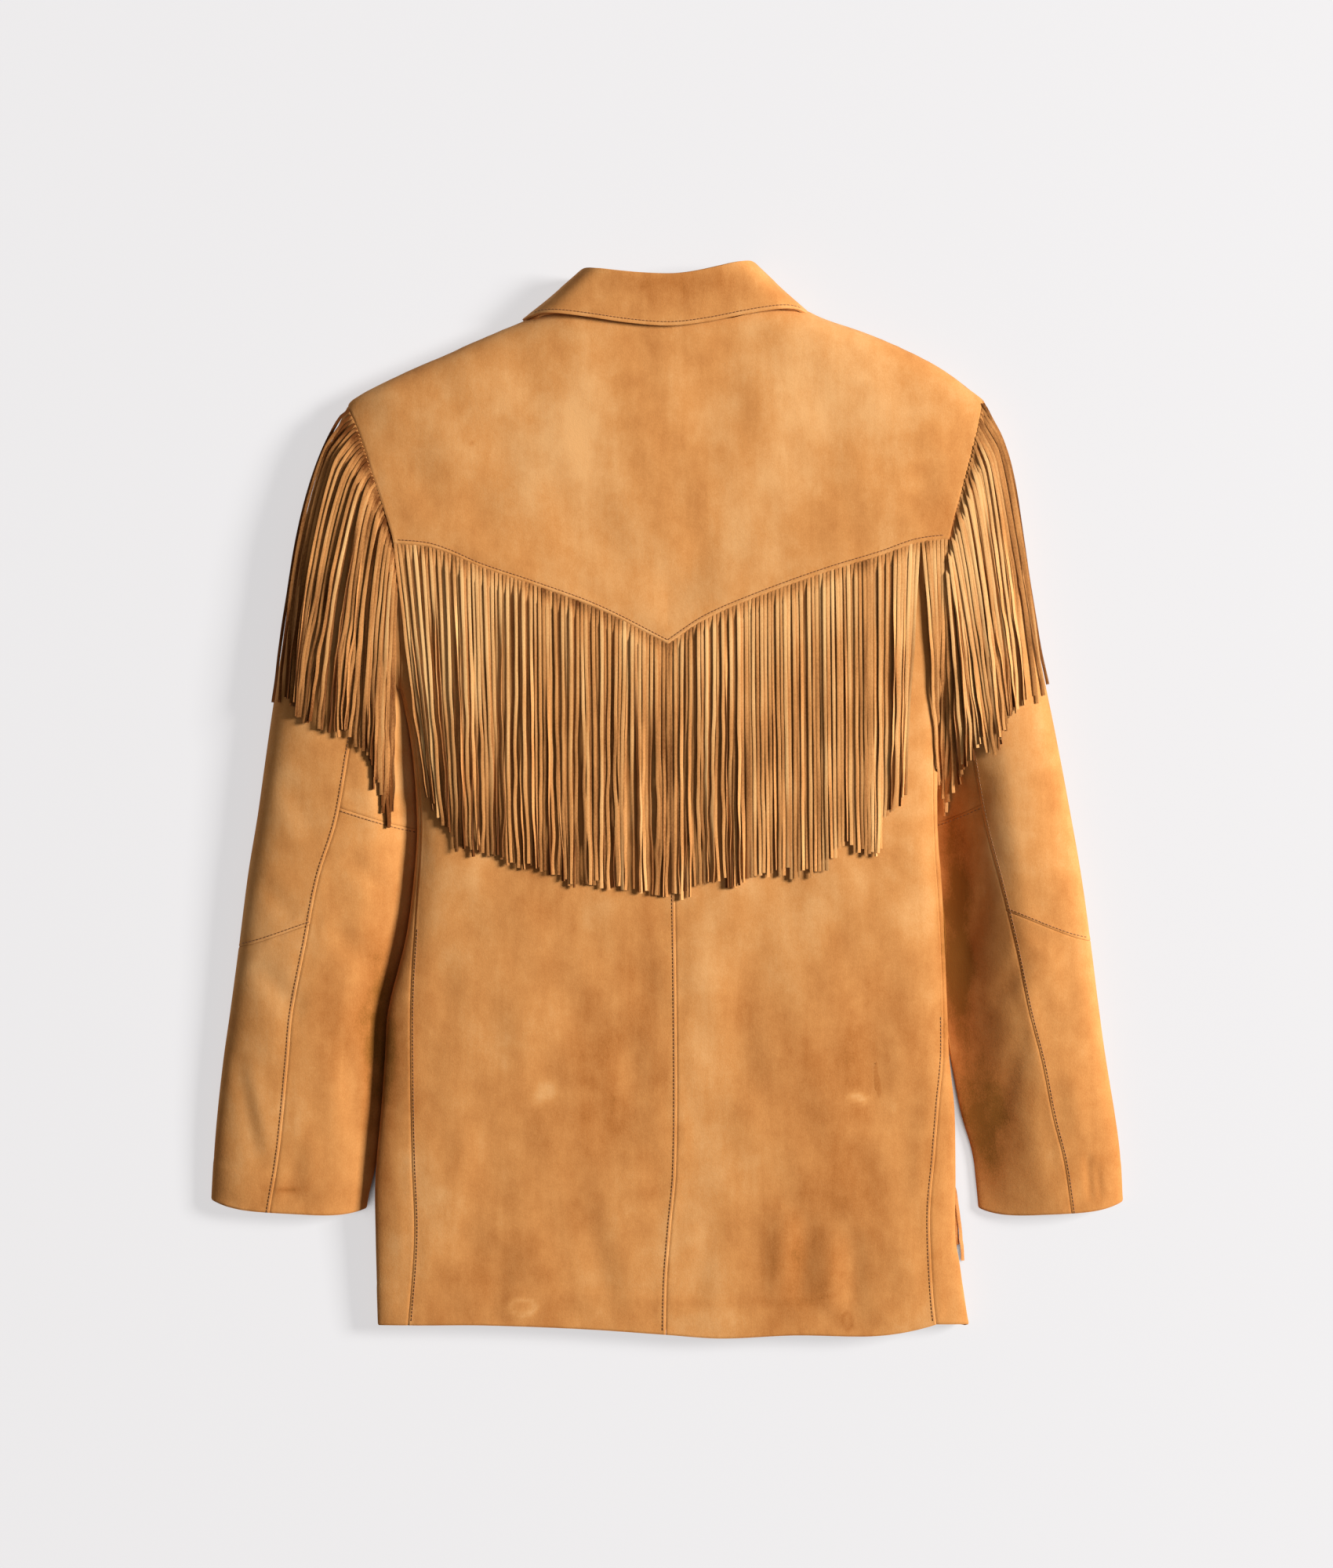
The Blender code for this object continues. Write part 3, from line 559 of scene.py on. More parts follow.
class EdgeFinish(Enum):
    """How one side of a panel is finished."""

    PLAIN = "sewn, with nothing on top"
    STITCHED = "sewn, with its allowance under it and stitched down"
    FOLDED = "folded under and stitched down over what it lies on"
    HEM = "turned up inside"
    FOLD = "a fold that goes on in the next panel"


def edge_height(finish: EdgeFinish, distance: Array) -> Array:
    """Shapes the suede beside an edge.

    Args:
        finish: how the edge is finished.
        distance: how far each place is from it.

    Returns:
        How far the suede stands up there, below zero where it rolls down.
    """
    def hill(centre: float, width: float) -> Array:
        """A rise of height 1, centred so far from the edge."""
        return np.exp(-((distance - centre) / width) ** 2)

    if finish is EdgeFinish.PLAIN:
        return -0.28 * hill(0.0, 0.8)
    if finish is EdgeFinish.STITCHED:
        return -0.3 * hill(0.0, 0.6) + 0.12 * hill(1.5, 1.2) - 0.05 * hill(SEAM_STITCH, 0.7)
    if finish is EdgeFinish.FOLDED:
        return -0.5 * hill(0.0, 0.8) + 0.3 * hill(1.6, 1.4) - 0.12 * hill(YOKE_STITCH, 0.8)
    if finish is EdgeFinish.HEM:
        turned_up = 1.0 - ease((distance - 26.0) / 6.0)
        return -0.6 * hill(0.0, 0.8) + 0.16 * turned_up - 0.07 * hill(31.5, 2.5)
    return np.zeros_like(distance)


def spread(length: float, step: float, first: EdgeFinish, last: EdgeFinish) -> Array:
    """Spaces a panel's lines, closer where an edge has detail.

    Args:
        length: the length to cover.
        step: the usual space between lines.
        first: the finish at the start.
        last: the finish at the end.

    Returns:
        Shares from 0 to 1.
    """
    close = (0.0, 0.4, 0.8, 1.2, 1.6, 2.1, 2.6, 3.1, 3.6, 4.2, 4.9, 5.6, 6.6, 8.0)
    rough = (0.0, 0.8, 2.0)
    head = close if first is not EdgeFinish.FOLD else rough
    tail = close if last is not EdgeFinish.FOLD else rough
    count = max(2, int(round((length - head[-1] - tail[-1]) / step)))
    middle = np.linspace(head[-1], length - tail[-1], count + 1)
    return np.concatenate([head[:-1], middle, [length - x for x in tail[-2::-1]]]) / length


@dataclass
class Grid:
    """Rows of places on a tube, with the way out of the cloth at each."""

    points: Array
    outward: Array

    def distances(self) -> tuple[Array, Array, Array, Array]:
        """Measures along the cloth to its four sides: left, right, bottom and top.

        Returns:
            The distance from every place to each side.
        """
        gone = np.linalg.norm(np.diff(self.points, axis=1), axis=-1)
        left = np.concatenate([np.zeros((len(gone), 1)), np.cumsum(gone, axis=1)], axis=1)
        gone = np.linalg.norm(np.diff(self.points, axis=0), axis=-1)
        bottom = np.concatenate([np.zeros((1, gone.shape[1])), np.cumsum(gone, axis=0)], axis=0)
        return left, left[:, -1:] - left, bottom, bottom[-1:] - bottom


def patch(tube: Tube, locate: Callable, left: Place, right: Place, bottom: Place, top: Place,
          across: Array, up: Array) -> Grid:
    """Covers the cloth between four curves in plan.

    Args:
        tube: the tube that the cloth lies on.
        locate: gives the angle and station of a place in plan.
        left: X of the left side at each Y.
        right: X of the right side at each Y.
        bottom: Y of the lower side at each X.
        top: Y of the upper side at each X.
        across: shares of the way from left to right.
        up: shares of the way from bottom to top.

    Returns:
        The grid, a row for each share of the way up.
    """
    side, high = np.meshgrid(across, up)
    y = np.full(side.shape, 0.0)
    for _ in range(SOLVE_STEPS):
        x = mix(left(y) + HALF_GAP, right(y) - HALF_GAP, side)
        y = mix(bottom(x), top(x), high)
    angle, station = locate(x, y)
    return Grid(tube.point(angle, station), tube.outward(angle, station))


def object_from(name: str, points: Array, faces: Array, material: bpy.types.Material,
                tone: Optional[Array] = None) -> bpy.types.Object:
    """Makes an object out of points in millimetres and four-sided faces.

    Args:
        name: the object's name.
        points: one place a row.
        faces: four point numbers a row.
        material: its finish.
        tone: how light the suede is at each point, 0 for no change.

    Returns:
        The new object, at the origin.
    """
    mesh = bpy.data.meshes.new(name)
    mesh.from_pydata((points * MM).tolist(), [], [list(face) for face in faces])
    mesh.validate()
    mesh.shade_smooth()
    mesh.set_sharp_from_angle(angle=math.radians(55.0))
    mesh.materials.append(material)
    layer = mesh.attributes.new("tone", "FLOAT", "POINT")
    values = np.zeros(len(points)) if tone is None else tone
    layer.data.foreach_set("value", values.astype(np.float32))
    item = bpy.data.objects.new(name, mesh)
    bpy.context.scene.collection.objects.link(item)
    return item


def grid_faces(rows: int, cols: int, start: int = 0) -> Array:
    """The four-sided faces of a grid of points, as point numbers."""
    corner = (np.arange(rows - 1)[:, None] * cols + np.arange(cols - 1)[None, :]).ravel() + start
    return np.stack([corner, corner + 1, corner + cols + 1, corner + cols], axis=1)


def rim_of(rows: int, cols: int) -> Array:
    """The point numbers round a grid, in order.

    Args:
        rows: the number of rows.
        cols: the number of places in a row.

    Returns:
        The numbers, from the first corner round.
    """
    bottom = np.arange(cols)
    right = np.arange(1, rows) * cols + cols - 1
    top = (rows - 1) * cols + np.arange(cols - 2, -1, -1)
    left = np.arange(rows - 2, 0, -1) * cols
    return np.concatenate([bottom, right, top, left])


@dataclass
class Terrain:
    """The upper face of the suede, for what lies or is sewn on it."""

    points: list[list[float]] = field(default_factory=list)
    faces: list[list[int]] = field(default_factory=list)
    tree: Optional[BVHTree] = None

    def add(self, points: Array, faces: Array) -> None:
        """Adds a face of cloth, in millimetres.

        Args:
            points: one place a row.
            faces: four point numbers a row.
        """
        start = len(self.points)
        self.points.extend(points.tolist())
        self.faces.extend((faces + start).tolist())
        self.tree = None

    def drop(self, x: Array, y: Array, floor: float = 0.0) -> Array:
        """Finds how high the cloth is.

        Args:
            x: places across.
            y: places along.
            floor: the height where there is no cloth.

        Returns:
            The height of the uppermost cloth at each place.
        """
        if self.tree is None:
            self.tree = BVHTree.FromPolygons(self.points, self.faces)
        down = Vector((0.0, 0.0, -1.0))
        heights = []
        for place_x, place_y in zip(np.ravel(x), np.ravel(y)):
            hit = self.tree.ray_cast(Vector((place_x, place_y, ABOVE_ALL)), down)
            heights.append(hit[0].z if hit[0] else floor)
        return np.array(heights).reshape(np.shape(x))


@dataclass(frozen=True)
class SuedeFinish:
    """Brushed suede: cloudy colour, a short nap and a soft sheen at grazing angles."""

    name: str
    deep: tuple[float, float, float]
    dark: tuple[float, float, float]
    middle: tuple[float, float, float]
    light: tuple[float, float, float]
    cloud_size: float
    nap_depth: float
    streak: float
    blotch: float

    def material(self) -> bpy.types.Material:
        """Builds the node material.

        Returns:
            The material, painted by Object coordinates and the tone attribute.
        """
        material = bpy.data.materials.new(self.name)
        material.use_nodes = True
        nodes = material.node_tree.nodes
        links = material.node_tree.links
        shader = nodes["Principled BSDF"]
        shader.inputs["Roughness"].default_value = 0.95
        shader.inputs["Specular IOR Level"].default_value = 0.12
        shader.inputs["Sheen Weight"].default_value = 0.12
        shader.inputs["Sheen Roughness"].default_value = 0.55
        shader.inputs["Sheen Tint"].default_value = (1.0, 0.78, 0.5, 1.0)
        place = nodes.new("ShaderNodeTexCoord").outputs["Object"]

        def noise(scale: float, detail: float, stretch: tuple[float, float, float],
                  rough: float = 0.5) -> bpy.types.NodeSocket:
            """Adds a noise texture on Object coordinates.

            Args:
                scale: how fine it is.
                detail: its number of finer layers.
                stretch: its scale along each axis.
                rough: the weight of the finer layers.

            Returns:
                Its value.
            """
            mapping = nodes.new("ShaderNodeMapping")
            mapping.inputs["Scale"].default_value = stretch
            links.new(place, mapping.inputs["Vector"])
            texture = nodes.new("ShaderNodeTexNoise")
            texture.inputs["Scale"].default_value = scale
            texture.inputs["Detail"].default_value = detail
            texture.inputs["Roughness"].default_value = rough
            links.new(mapping.outputs["Vector"], texture.inputs["Vector"])
            return texture.outputs["Fac"]

        def blend(first: bpy.types.NodeSocket, second: bpy.types.NodeSocket,
                  amount: float) -> bpy.types.NodeSocket:
            """Adds one value to another.

            Args:
                first: the value that is added to.
                second: the value that is added, from 0 to 1.
                amount: its weight, centred on no change.

            Returns:
                The sum.
            """
            offset = nodes.new("ShaderNodeMath")
            offset.operation = "MULTIPLY_ADD"
            offset.inputs[1].default_value = amount
            offset.inputs[2].default_value = -0.5 * amount
            links.new(second, offset.inputs[0])
            total = nodes.new("ShaderNodeMath")
            total.operation = "ADD"
            links.new(first, total.inputs[0])
            links.new(offset.outputs[0], total.inputs[1])
            return total.outputs[0]

        clouds = noise(1.0 / self.cloud_size, 4.0, (1.0, 0.75, 1.0), 0.55)
        value = blend(clouds, noise(55.0, 5.0, (1.0, 0.8, 1.0), 0.6), self.blotch)
        value = blend(value, noise(190.0, 3.0, (1.0, 0.12, 1.0)), self.streak)
        value = blend(value, noise(1100.0, 3.0, (1.0, 0.6, 1.0), 0.7), 0.34)
        tone = nodes.new("ShaderNodeAttribute")
        tone.attribute_name = "tone"
        lit = nodes.new("ShaderNodeMath")
        lit.operation = "ADD"
        links.new(value, lit.inputs[0])
        links.new(tone.outputs["Fac"], lit.inputs[1])
        ramp = nodes.new("ShaderNodeValToRGB")
        ramp.color_ramp.interpolation = "LINEAR"
        stops = ramp.color_ramp.elements
        stops[0].position = 0.2
        stops[0].color = (*self.dark, 1.0)
        stops[1].position = 0.8
        stops[1].color = (*self.light, 1.0)
        stops.new(0.5).color = (*self.middle, 1.0)
        stops.new(0.0).color = (*self.deep, 1.0)
        links.new(lit.outputs[0], ramp.inputs["Fac"])
        links.new(ramp.outputs["Color"], shader.inputs["Base Color"])
        nap = noise(1500.0, 3.0, (1.0, 0.55, 1.0), 0.75)
        grain = blend(nap, noise(340.0, 4.0, (1.0, 0.8, 1.0), 0.65), 1.3)
        bump = nodes.new("ShaderNodeBump")
        bump.inputs["Strength"].default_value = 0.5
        bump.inputs["Distance"].default_value = self.nap_depth
        links.new(grain, bump.inputs["Height"])
        links.new(bump.outputs["Normal"], shader.inputs["Normal"])
        return material


@dataclass(frozen=True)
class ThreadFinish:
    """Tan sewing thread, twisted and slightly glossy."""

    name: str
    colour: tuple[float, float, float]

    def material(self) -> bpy.types.Material:
        """Builds the node material, its twist in fine slanting bands.

        Returns:
            The material, painted by Object coordinates.
        """
        material = bpy.data.materials.new(self.name)
        material.use_nodes = True
        nodes = material.node_tree.nodes
        links = material.node_tree.links
        shader = nodes["Principled BSDF"]
        shader.inputs["Roughness"].default_value = 0.6
        place = nodes.new("ShaderNodeTexCoord").outputs["Object"]
        twist = nodes.new("ShaderNodeTexWave")
        twist.bands_direction = "DIAGONAL"
        twist.inputs["Scale"].default_value = 700.0
        links.new(place, twist.inputs["Vector"])
        ramp = nodes.new("ShaderNodeValToRGB")
        ramp.color_ramp.elements[0].color = (*[0.6 * x for x in self.colour], 1.0)
        ramp.color_ramp.elements[1].color = (*self.colour, 1.0)
        links.new(twist.outputs["Fac"], ramp.inputs["Fac"])
        links.new(ramp.outputs["Color"], shader.inputs["Base Color"])
        bump = nodes.new("ShaderNodeBump")
        bump.inputs["Strength"].default_value = 0.4
        bump.inputs["Distance"].default_value = 0.0001
        links.new(twist.outputs["Fac"], bump.inputs["Height"])
        links.new(bump.outputs["Normal"], shader.inputs["Normal"])
        return material


@dataclass(frozen=True)
class WearAndShadeSpot:
    """A spot of changed tone, a ring where it has a hollow: real wear, rubbing and soil, and painted
    shade on the sleeves' inner sides.
    """

    x: float
    y: float
    radius_x: float
    radius_y: float
    strength: float
    hollow: float = 0.0

    def tone(self, x: Array, y: Array) -> Array:
        """How much lighter the spot makes each place.

        Args:
            x: places across.
            y: places along.

        Returns:
            The change of tone, below zero where it is darker.
        """
        far = np.hypot((x - self.x) / self.radius_x, (y - self.y) / self.radius_y)
        if self.hollow:
            return self.strength * np.exp(-((far - 1.0) / self.hollow) ** 2)
        return self.strength * np.exp(-far ** 3)


# Spots of real wear and soil, broad tone that is lighter on the yoke and darker low on the back, and
# painted shade on the sleeves' inner sides.
WEAR_AND_PAINTED_SHADE = (
    WearAndShadeSpot(-89.3, -214.0, 8.5, 8.0, 0.34), WearAndShadeSpot(-96.0, -221.0, 5.0, 6.0, 0.2),
    WearAndShadeSpot(139.8, -218.7, 6.0, 3.2, 0.38), WearAndShadeSpot(146.0, -222.0, 4.5, 2.5, 0.3),
    WearAndShadeSpot(-107.3, -375.3, 9.0, 6.0, 0.25, 0.3), WearAndShadeSpot(121.0, -366.0, 8.0, 1.6, -0.2),
    WearAndShadeSpot(133.4, -386.0, 3.5, 6.0, -0.18, 0.35), WearAndShadeSpot(-281.9, -288.8, 9.0, 3.0, -0.28),
    WearAndShadeSpot(-143.3, 263.3, 1.6, 1.2, -0.3), WearAndShadeSpot(60.0, -372.0, 70.0, 4.0, -0.1),
    WearAndShadeSpot(-150.0, -160.0, 26.0, 90.0, 0.06), WearAndShadeSpot(30.0, -210.0, 16.0, 110.0, 0.1),
    WearAndShadeSpot(-12.0, -200.0, 12.0, 120.0, -0.07), WearAndShadeSpot(-60.0, 330.0, 90.0, 18.0, -0.07),
    WearAndShadeSpot(150.0, 300.0, 60.0, 40.0, 0.03), WearAndShadeSpot(-190.0, 215.0, 12.0, 18.0, -0.12),
    WearAndShadeSpot(196.0, 215.0, 12.0, 18.0, -0.1), WearAndShadeSpot(0.0, 140.0, 30.0, 16.0, -0.06),
    WearAndShadeSpot(0.0, 372.0, 110.0, 20.0, -0.08), WearAndShadeSpot(0.0, 260.0, 300.0, 110.0, 0.07),
    # painted shade: the right sleeve's inner side, which turns away from the light
    WearAndShadeSpot(214.0, -80.0, 14.0, 95.0, -0.6), WearAndShadeSpot(236.0, -215.0, 24.0, 75.0, -0.34),
    WearAndShadeSpot(-20.0, 383.0, 34.0, 8.0, -0.16), WearAndShadeSpot(42.0, 384.0, 20.0, 8.0, -0.12),
    WearAndShadeSpot(0.0, -250.0, 260.0, 190.0, -0.08), WearAndShadeSpot(150.0, -230.0, 90.0, 150.0, -0.14),
    WearAndShadeSpot(180.0, -300.0, 18.0, 60.0, 0.08), WearAndShadeSpot(90.0, -300.0, 30.0, 60.0, -0.06),
    # the first two are painted shade: the left sleeve's inner edge, beside the higher body
    WearAndShadeSpot(-213.0, -205.0, 13.0, 100.0, -0.34), WearAndShadeSpot(-205.0, -40.0, 12.0, 60.0, -0.16),
    WearAndShadeSpot(250.0, -280.0, 24.0, 30.0, -0.08), WearAndShadeSpot(-300.0, -290.0, 30.0, 12.0, -0.08),
)


@dataclass
class Workshop:
    """What every piece is made with: the tubes, finishes, upper face and reports."""

    body: Body = field(default_factory=Body)
    terrain: Terrain = field(default_factory=Terrain)
    suede: Optional[bpy.types.Material] = None
    fringe: Optional[bpy.types.Material] = None
    thread: Optional[bpy.types.Material] = None
    step: float = 3.2
    cuts: list[tuple[bpy.types.Object, float, float, str, float]] = field(default_factory=list)

    def shell(self, name: str, node: str, grid: Grid, sides: Sequence[EdgeFinish],
              lift: Optional[Array] = None, shows: bool = True,
              wall: float = WALL) -> bpy.types.Object:
        """Makes one panel of suede, creased, with its edges finished, and declares its cut.

        Args:
            name: the piece's name.
            node: the solid that it stands for.
            grid: the panel's places.
            sides: the finishes at the left, right, bottom and top of the grid.
            lift: how far it lies off its tube, at each place.
            shows: whether it is on the upper side and takes creases, wear marks and painted shade.
            wall: its thickness.

        Returns:
            The panel.
        """
        rows, cols = grid.points.shape[:2]
        x, y = grid.points[..., 0], grid.points[..., 1]
        up = np.clip(grid.outward[..., 2], 0.0, 1.0)
        far = grid.distances()
        raise_by = np.zeros((rows, cols)) if lift is None else lift.copy()
        calm = ease(np.minimum.reduce(far) / 14.0)
        waves = 0.55 * ripple(x, y, 95.0, SEED) + 0.3 * ripple(x, y, 38.0, SEED + 1)
        raise_by += waves * up * calm * (1.0 if shows else 0.3)
        tone = np.zeros((rows, cols))
        if shows:
            for crease in CREASES:
                raise_by += crease.height(x, y) * up
            # spots of real wear and soil, and painted shade on the sleeves' inner sides
            for wear_and_shade in WEAR_AND_PAINTED_SHADE:
                tone += wear_and_shade.tone(x, y)
        pucker = 0.16 * ripple(x, y, 9.0, SEED + 2) * np.exp(-np.minimum.reduce(far) / 6.0)
        raise_by += pucker
        thick = np.full((rows, cols), wall)
        for side, finish in enumerate(sides):
            raise_by += edge_height(finish, far[side])
            # Painted shade where the suede rolls into each seam's slit; a faint painted highlight on
            # the raised allowance beside a stitched or folded edge.
            tone -= 0.04 * np.exp(-(far[side] / 1.2) ** 2) * (finish is not EdgeFinish.FOLD)
            if finish in (EdgeFinish.STITCHED, EdgeFinish.FOLDED):
                line = SEAM_STITCH if finish is EdgeFinish.STITCHED else YOKE_STITCH
                tone += 0.03 * np.exp(-((far[side] - 0.4 * line) / 1.2) ** 2)
            if finish is EdgeFinish.HEM:
                thick += 1.3 * (1.0 - ease((far[side] - 28.0) / 2.0))
        outer = grid.points + grid.outward * raise_by[..., None]
        inner = grid.points + grid.outward * np.minimum(raise_by, 0.4)[..., None]
        if lift is not None:
            inner = grid.points + grid.outward * lift[..., None]
        inner = inner - grid.outward * thick[..., None]
        item = self.closed(name, outer, inner, grid.outward, self.suede, tone)
        if shows:
            self.terrain.add(outer.reshape(-1, 3), grid_faces(rows, cols))
        spans = [float(np.max(far[0])), float(np.max(far[2]))]
        face = outer[1:, 1:] - outer[:-1, :-1]
        other = outer[1:, :-1] - outer[:-1, 1:]
        area = 0.5 * float(np.sum(np.linalg.norm(np.cross(face, other), axis=-1)))
        self.declare(item, node, spans, area)
        return item

    def closed(self, name: str, outer: Array, inner: Array, outward: Array,
               material: bpy.types.Material, tone: Array) -> bpy.types.Object:
        """Closes an outer and an inner face into one wall.

        Args:
            name: the object's name.
            outer: the outer face's places.
            inner: the inner face's places.
            outward: the way out at each place.
            material: its finish.
            tone: how light the suede is at each place.

        Returns:
            The closed wall.
        """
        rows, cols = outer.shape[:2]
        count = rows * cols
        faces = grid_faces(rows, cols)
        rim = rim_of(rows, cols)
        after = np.roll(rim, -1)
        band = np.stack([after, rim, rim + count, after + count], axis=1)
        everything = np.concatenate([faces, faces[:, ::-1] + count, band])
        middle_row, middle_col = rows // 2, cols // 2
        side = outer[middle_row, middle_col + 1] - outer[middle_row, middle_col]
        along = outer[middle_row + 1, middle_col] - outer[middle_row, middle_col]
        if float(np.dot(np.cross(side, along), outward[middle_row, middle_col])) < 0.0:
            everything = everything[:, ::-1]
        points = np.concatenate([outer.reshape(-1, 3), inner.reshape(-1, 3)])
        both = np.concatenate([tone.ravel(), tone.ravel() - 0.12])
        return object_from(name, points, everything, material, both)

    def declare(self, item: bpy.types.Object, node: str, spans: Sequence[float],
                area: float) -> None:
        """Says what a panel stands for and how large its cut is, with its allowances.

        Args:
            item: the panel.
            node: the solid that it stands for.
            spans: its greatest width and length.
            area: its area as it shows.
        """
        width, length = spans[0] + 2.0 * ALLOWANCE, spans[1] + 2.0 * ALLOWANCE
        cut = area + 2.0 * ALLOWANCE * (spans[0] + spans[1])
        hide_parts(node)
        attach(item, "root")
        self.cuts.append((item, width, length, "laid", cut))
        LOG.info("%s: cut %.0f x %.0f mm, %.4f m2", item.name, width, length, cut * MM * MM)


class BackPanels:
    """The yoke, the two backs and the two side panels."""

    def __init__(self, shop: Workshop) -> None:
        """Keeps the workshop."""
        self.shop = shop
        self.body = shop.body

    def build(self) -> None:
        """Makes the five panels of the upper side."""
        self.back("left")
        self.back("right")
        self.yoke()
        self.side("left", SIDE_SEAM_LEFT)
        self.side("right", SIDE_SEAM_RIGHT)

    def back(self, side: str) -> None:
        """Makes one back panel.

        Args:
            side: left or right, as laid.
        """
        seam, armhole = ((SIDE_SEAM_LEFT, ARMHOLE_LEFT) if side == "left"
                         else (SIDE_SEAM_RIGHT, ARMHOLE_RIGHT))

        def outer(y: Array) -> Array:
            """X of the side seam, and of the armhole above it."""
            return np.where(y < UNDERARM_Y, seam.read("x", y), armhole.read("x", y))

        def centre(y: Array) -> Array:
            """X of the centre back seam."""
            return CENTRE_BACK.read("x", y)

        def under_yoke(x: Array) -> Array:
            """Y of the panel's end, hidden under the yoke."""
            return yoke_y(x) + UNDER_YOKE

        stitched, plain, hem = EdgeFinish.STITCHED, EdgeFinish.PLAIN, EdgeFinish.HEM
        if side == "left":
            sides = (stitched, stitched, hem, EdgeFinish.FOLD)
            left, right = outer, centre
        else:
            sides = (plain, stitched, hem, EdgeFinish.FOLD)
            left, right = centre, outer
        grid = patch(self.body, self.body.top, left, right, hem_y, under_yoke,
                     spread(197.0, self.shop.step, sides[0], sides[1]),
                     spread(585.0, self.shop.step, sides[2], sides[3]))
        y = grid.points[..., 1]
        sink = -1.2 * ease((y - yoke_y(grid.points[..., 0]) + 6.0) / 8.0)
        self.shop.shell("back_panel_" + side, "back_" + side, grid, sides, lift=sink)

    def yoke(self) -> None:
        """Makes the pointed yoke, folded under along its lower edge."""
        body = self.body

        def top(x: Array) -> Array:
            """Y of the neck under the collar, and of the shoulder fold."""
            under_collar = NECK_Y + 7.0 * ease((np.abs(x) - 44.0) / 30.0)
            return np.minimum(under_collar, shoulder_y(body, x) - SHOULDER_SLIT)

        half = spread(198.0, self.shop.step, EdgeFinish.PLAIN, EdgeFinish.FOLD)
        across = np.concatenate([V_SHARE * half[:-1],
                                 (1.0 - (1.0 - V_SHARE) * half)[::-1]])
        up = spread(200.0, self.shop.step, EdgeFinish.FOLDED, EdgeFinish.PLAIN)
        up = 1.0 - (1.0 - up) * (0.35 + 0.65 * (1.0 - up))
        grid = patch(body, body.top, lambda y: ARMHOLE_LEFT.read("x", y),
                     lambda y: ARMHOLE_RIGHT.read("x", y), lambda x: yoke_y(x) + HALF_GAP, top,
                     across, up)
        rise = (grid.points[..., 1] - yoke_y(grid.points[..., 0])) / YOKE_LIFT_FADE
        lift = YOKE_LIFT * (1.0 - ease(rise))
        sides = (EdgeFinish.PLAIN, EdgeFinish.PLAIN, EdgeFinish.FOLDED, EdgeFinish.FOLD)
        self.shop.shell("yoke", "back_yoke", grid, sides, lift=lift)

    def side(self, side: str, seam: Table) -> None:
        """Makes one side panel, round the body's edge.

        Args:
            side: left or right, as laid.
            seam: its seam with the back.
        """
        sign = -1.0 if side == "left" else 1.0
        place = spread(64.0, self.shop.step, EdgeFinish.PLAIN, EdgeFinish.FOLD)
        share, high = np.meshgrid(place, spread(456.0, self.shop.step, EdgeFinish.HEM,
                                                EdgeFinish.FOLD) * 0.815)
        x = np.full(share.shape, sign * 195.0)
        for _ in range(SOLVE_STEPS):
            y = mix(hem_y(x), yoke_y(x) - HALF_GAP, high)
            x = seam.read("x", y)
        start = self.body.top(x + sign * 2.0 * HALF_GAP, y)[0]
        stop = self.body.under(under_seam_x(self.body, side, y) + sign * HALF_GAP, y)[0]
        if side == "right":
            stop = stop - 2.0 * math.pi
        angle = mix(start, stop, share)
        grid = Grid(self.body.point(angle, y), self.body.outward(angle, y))
        sides = (EdgeFinish.PLAIN, EdgeFinish.FOLD, EdgeFinish.HEM, EdgeFinish.FOLD)
        self.shop.shell("side_panel_" + side, "side_" + side, grid, sides)


def under_seam_x(body: Body, side: str, y: Array) -> Array:
    """Finds the straight seam under the body, between a side panel and a front.

    Args:
        body: the body.
        side: left or right, as laid.
        y: heights along it.

    Returns:
        X of the seam at each height.
    """
    sign = -1.0 if side == "left" else 1.0
    low = float(hem_y(0.0))
    at_hem = BODY_EDGES.read(side, low) - sign * 50.0
    at_top = BODY_EDGES.read(side, UNDERARM_Y) - sign * 22.0
    return mix(at_hem, at_top, (y - low) / (UNDERARM_Y - low))


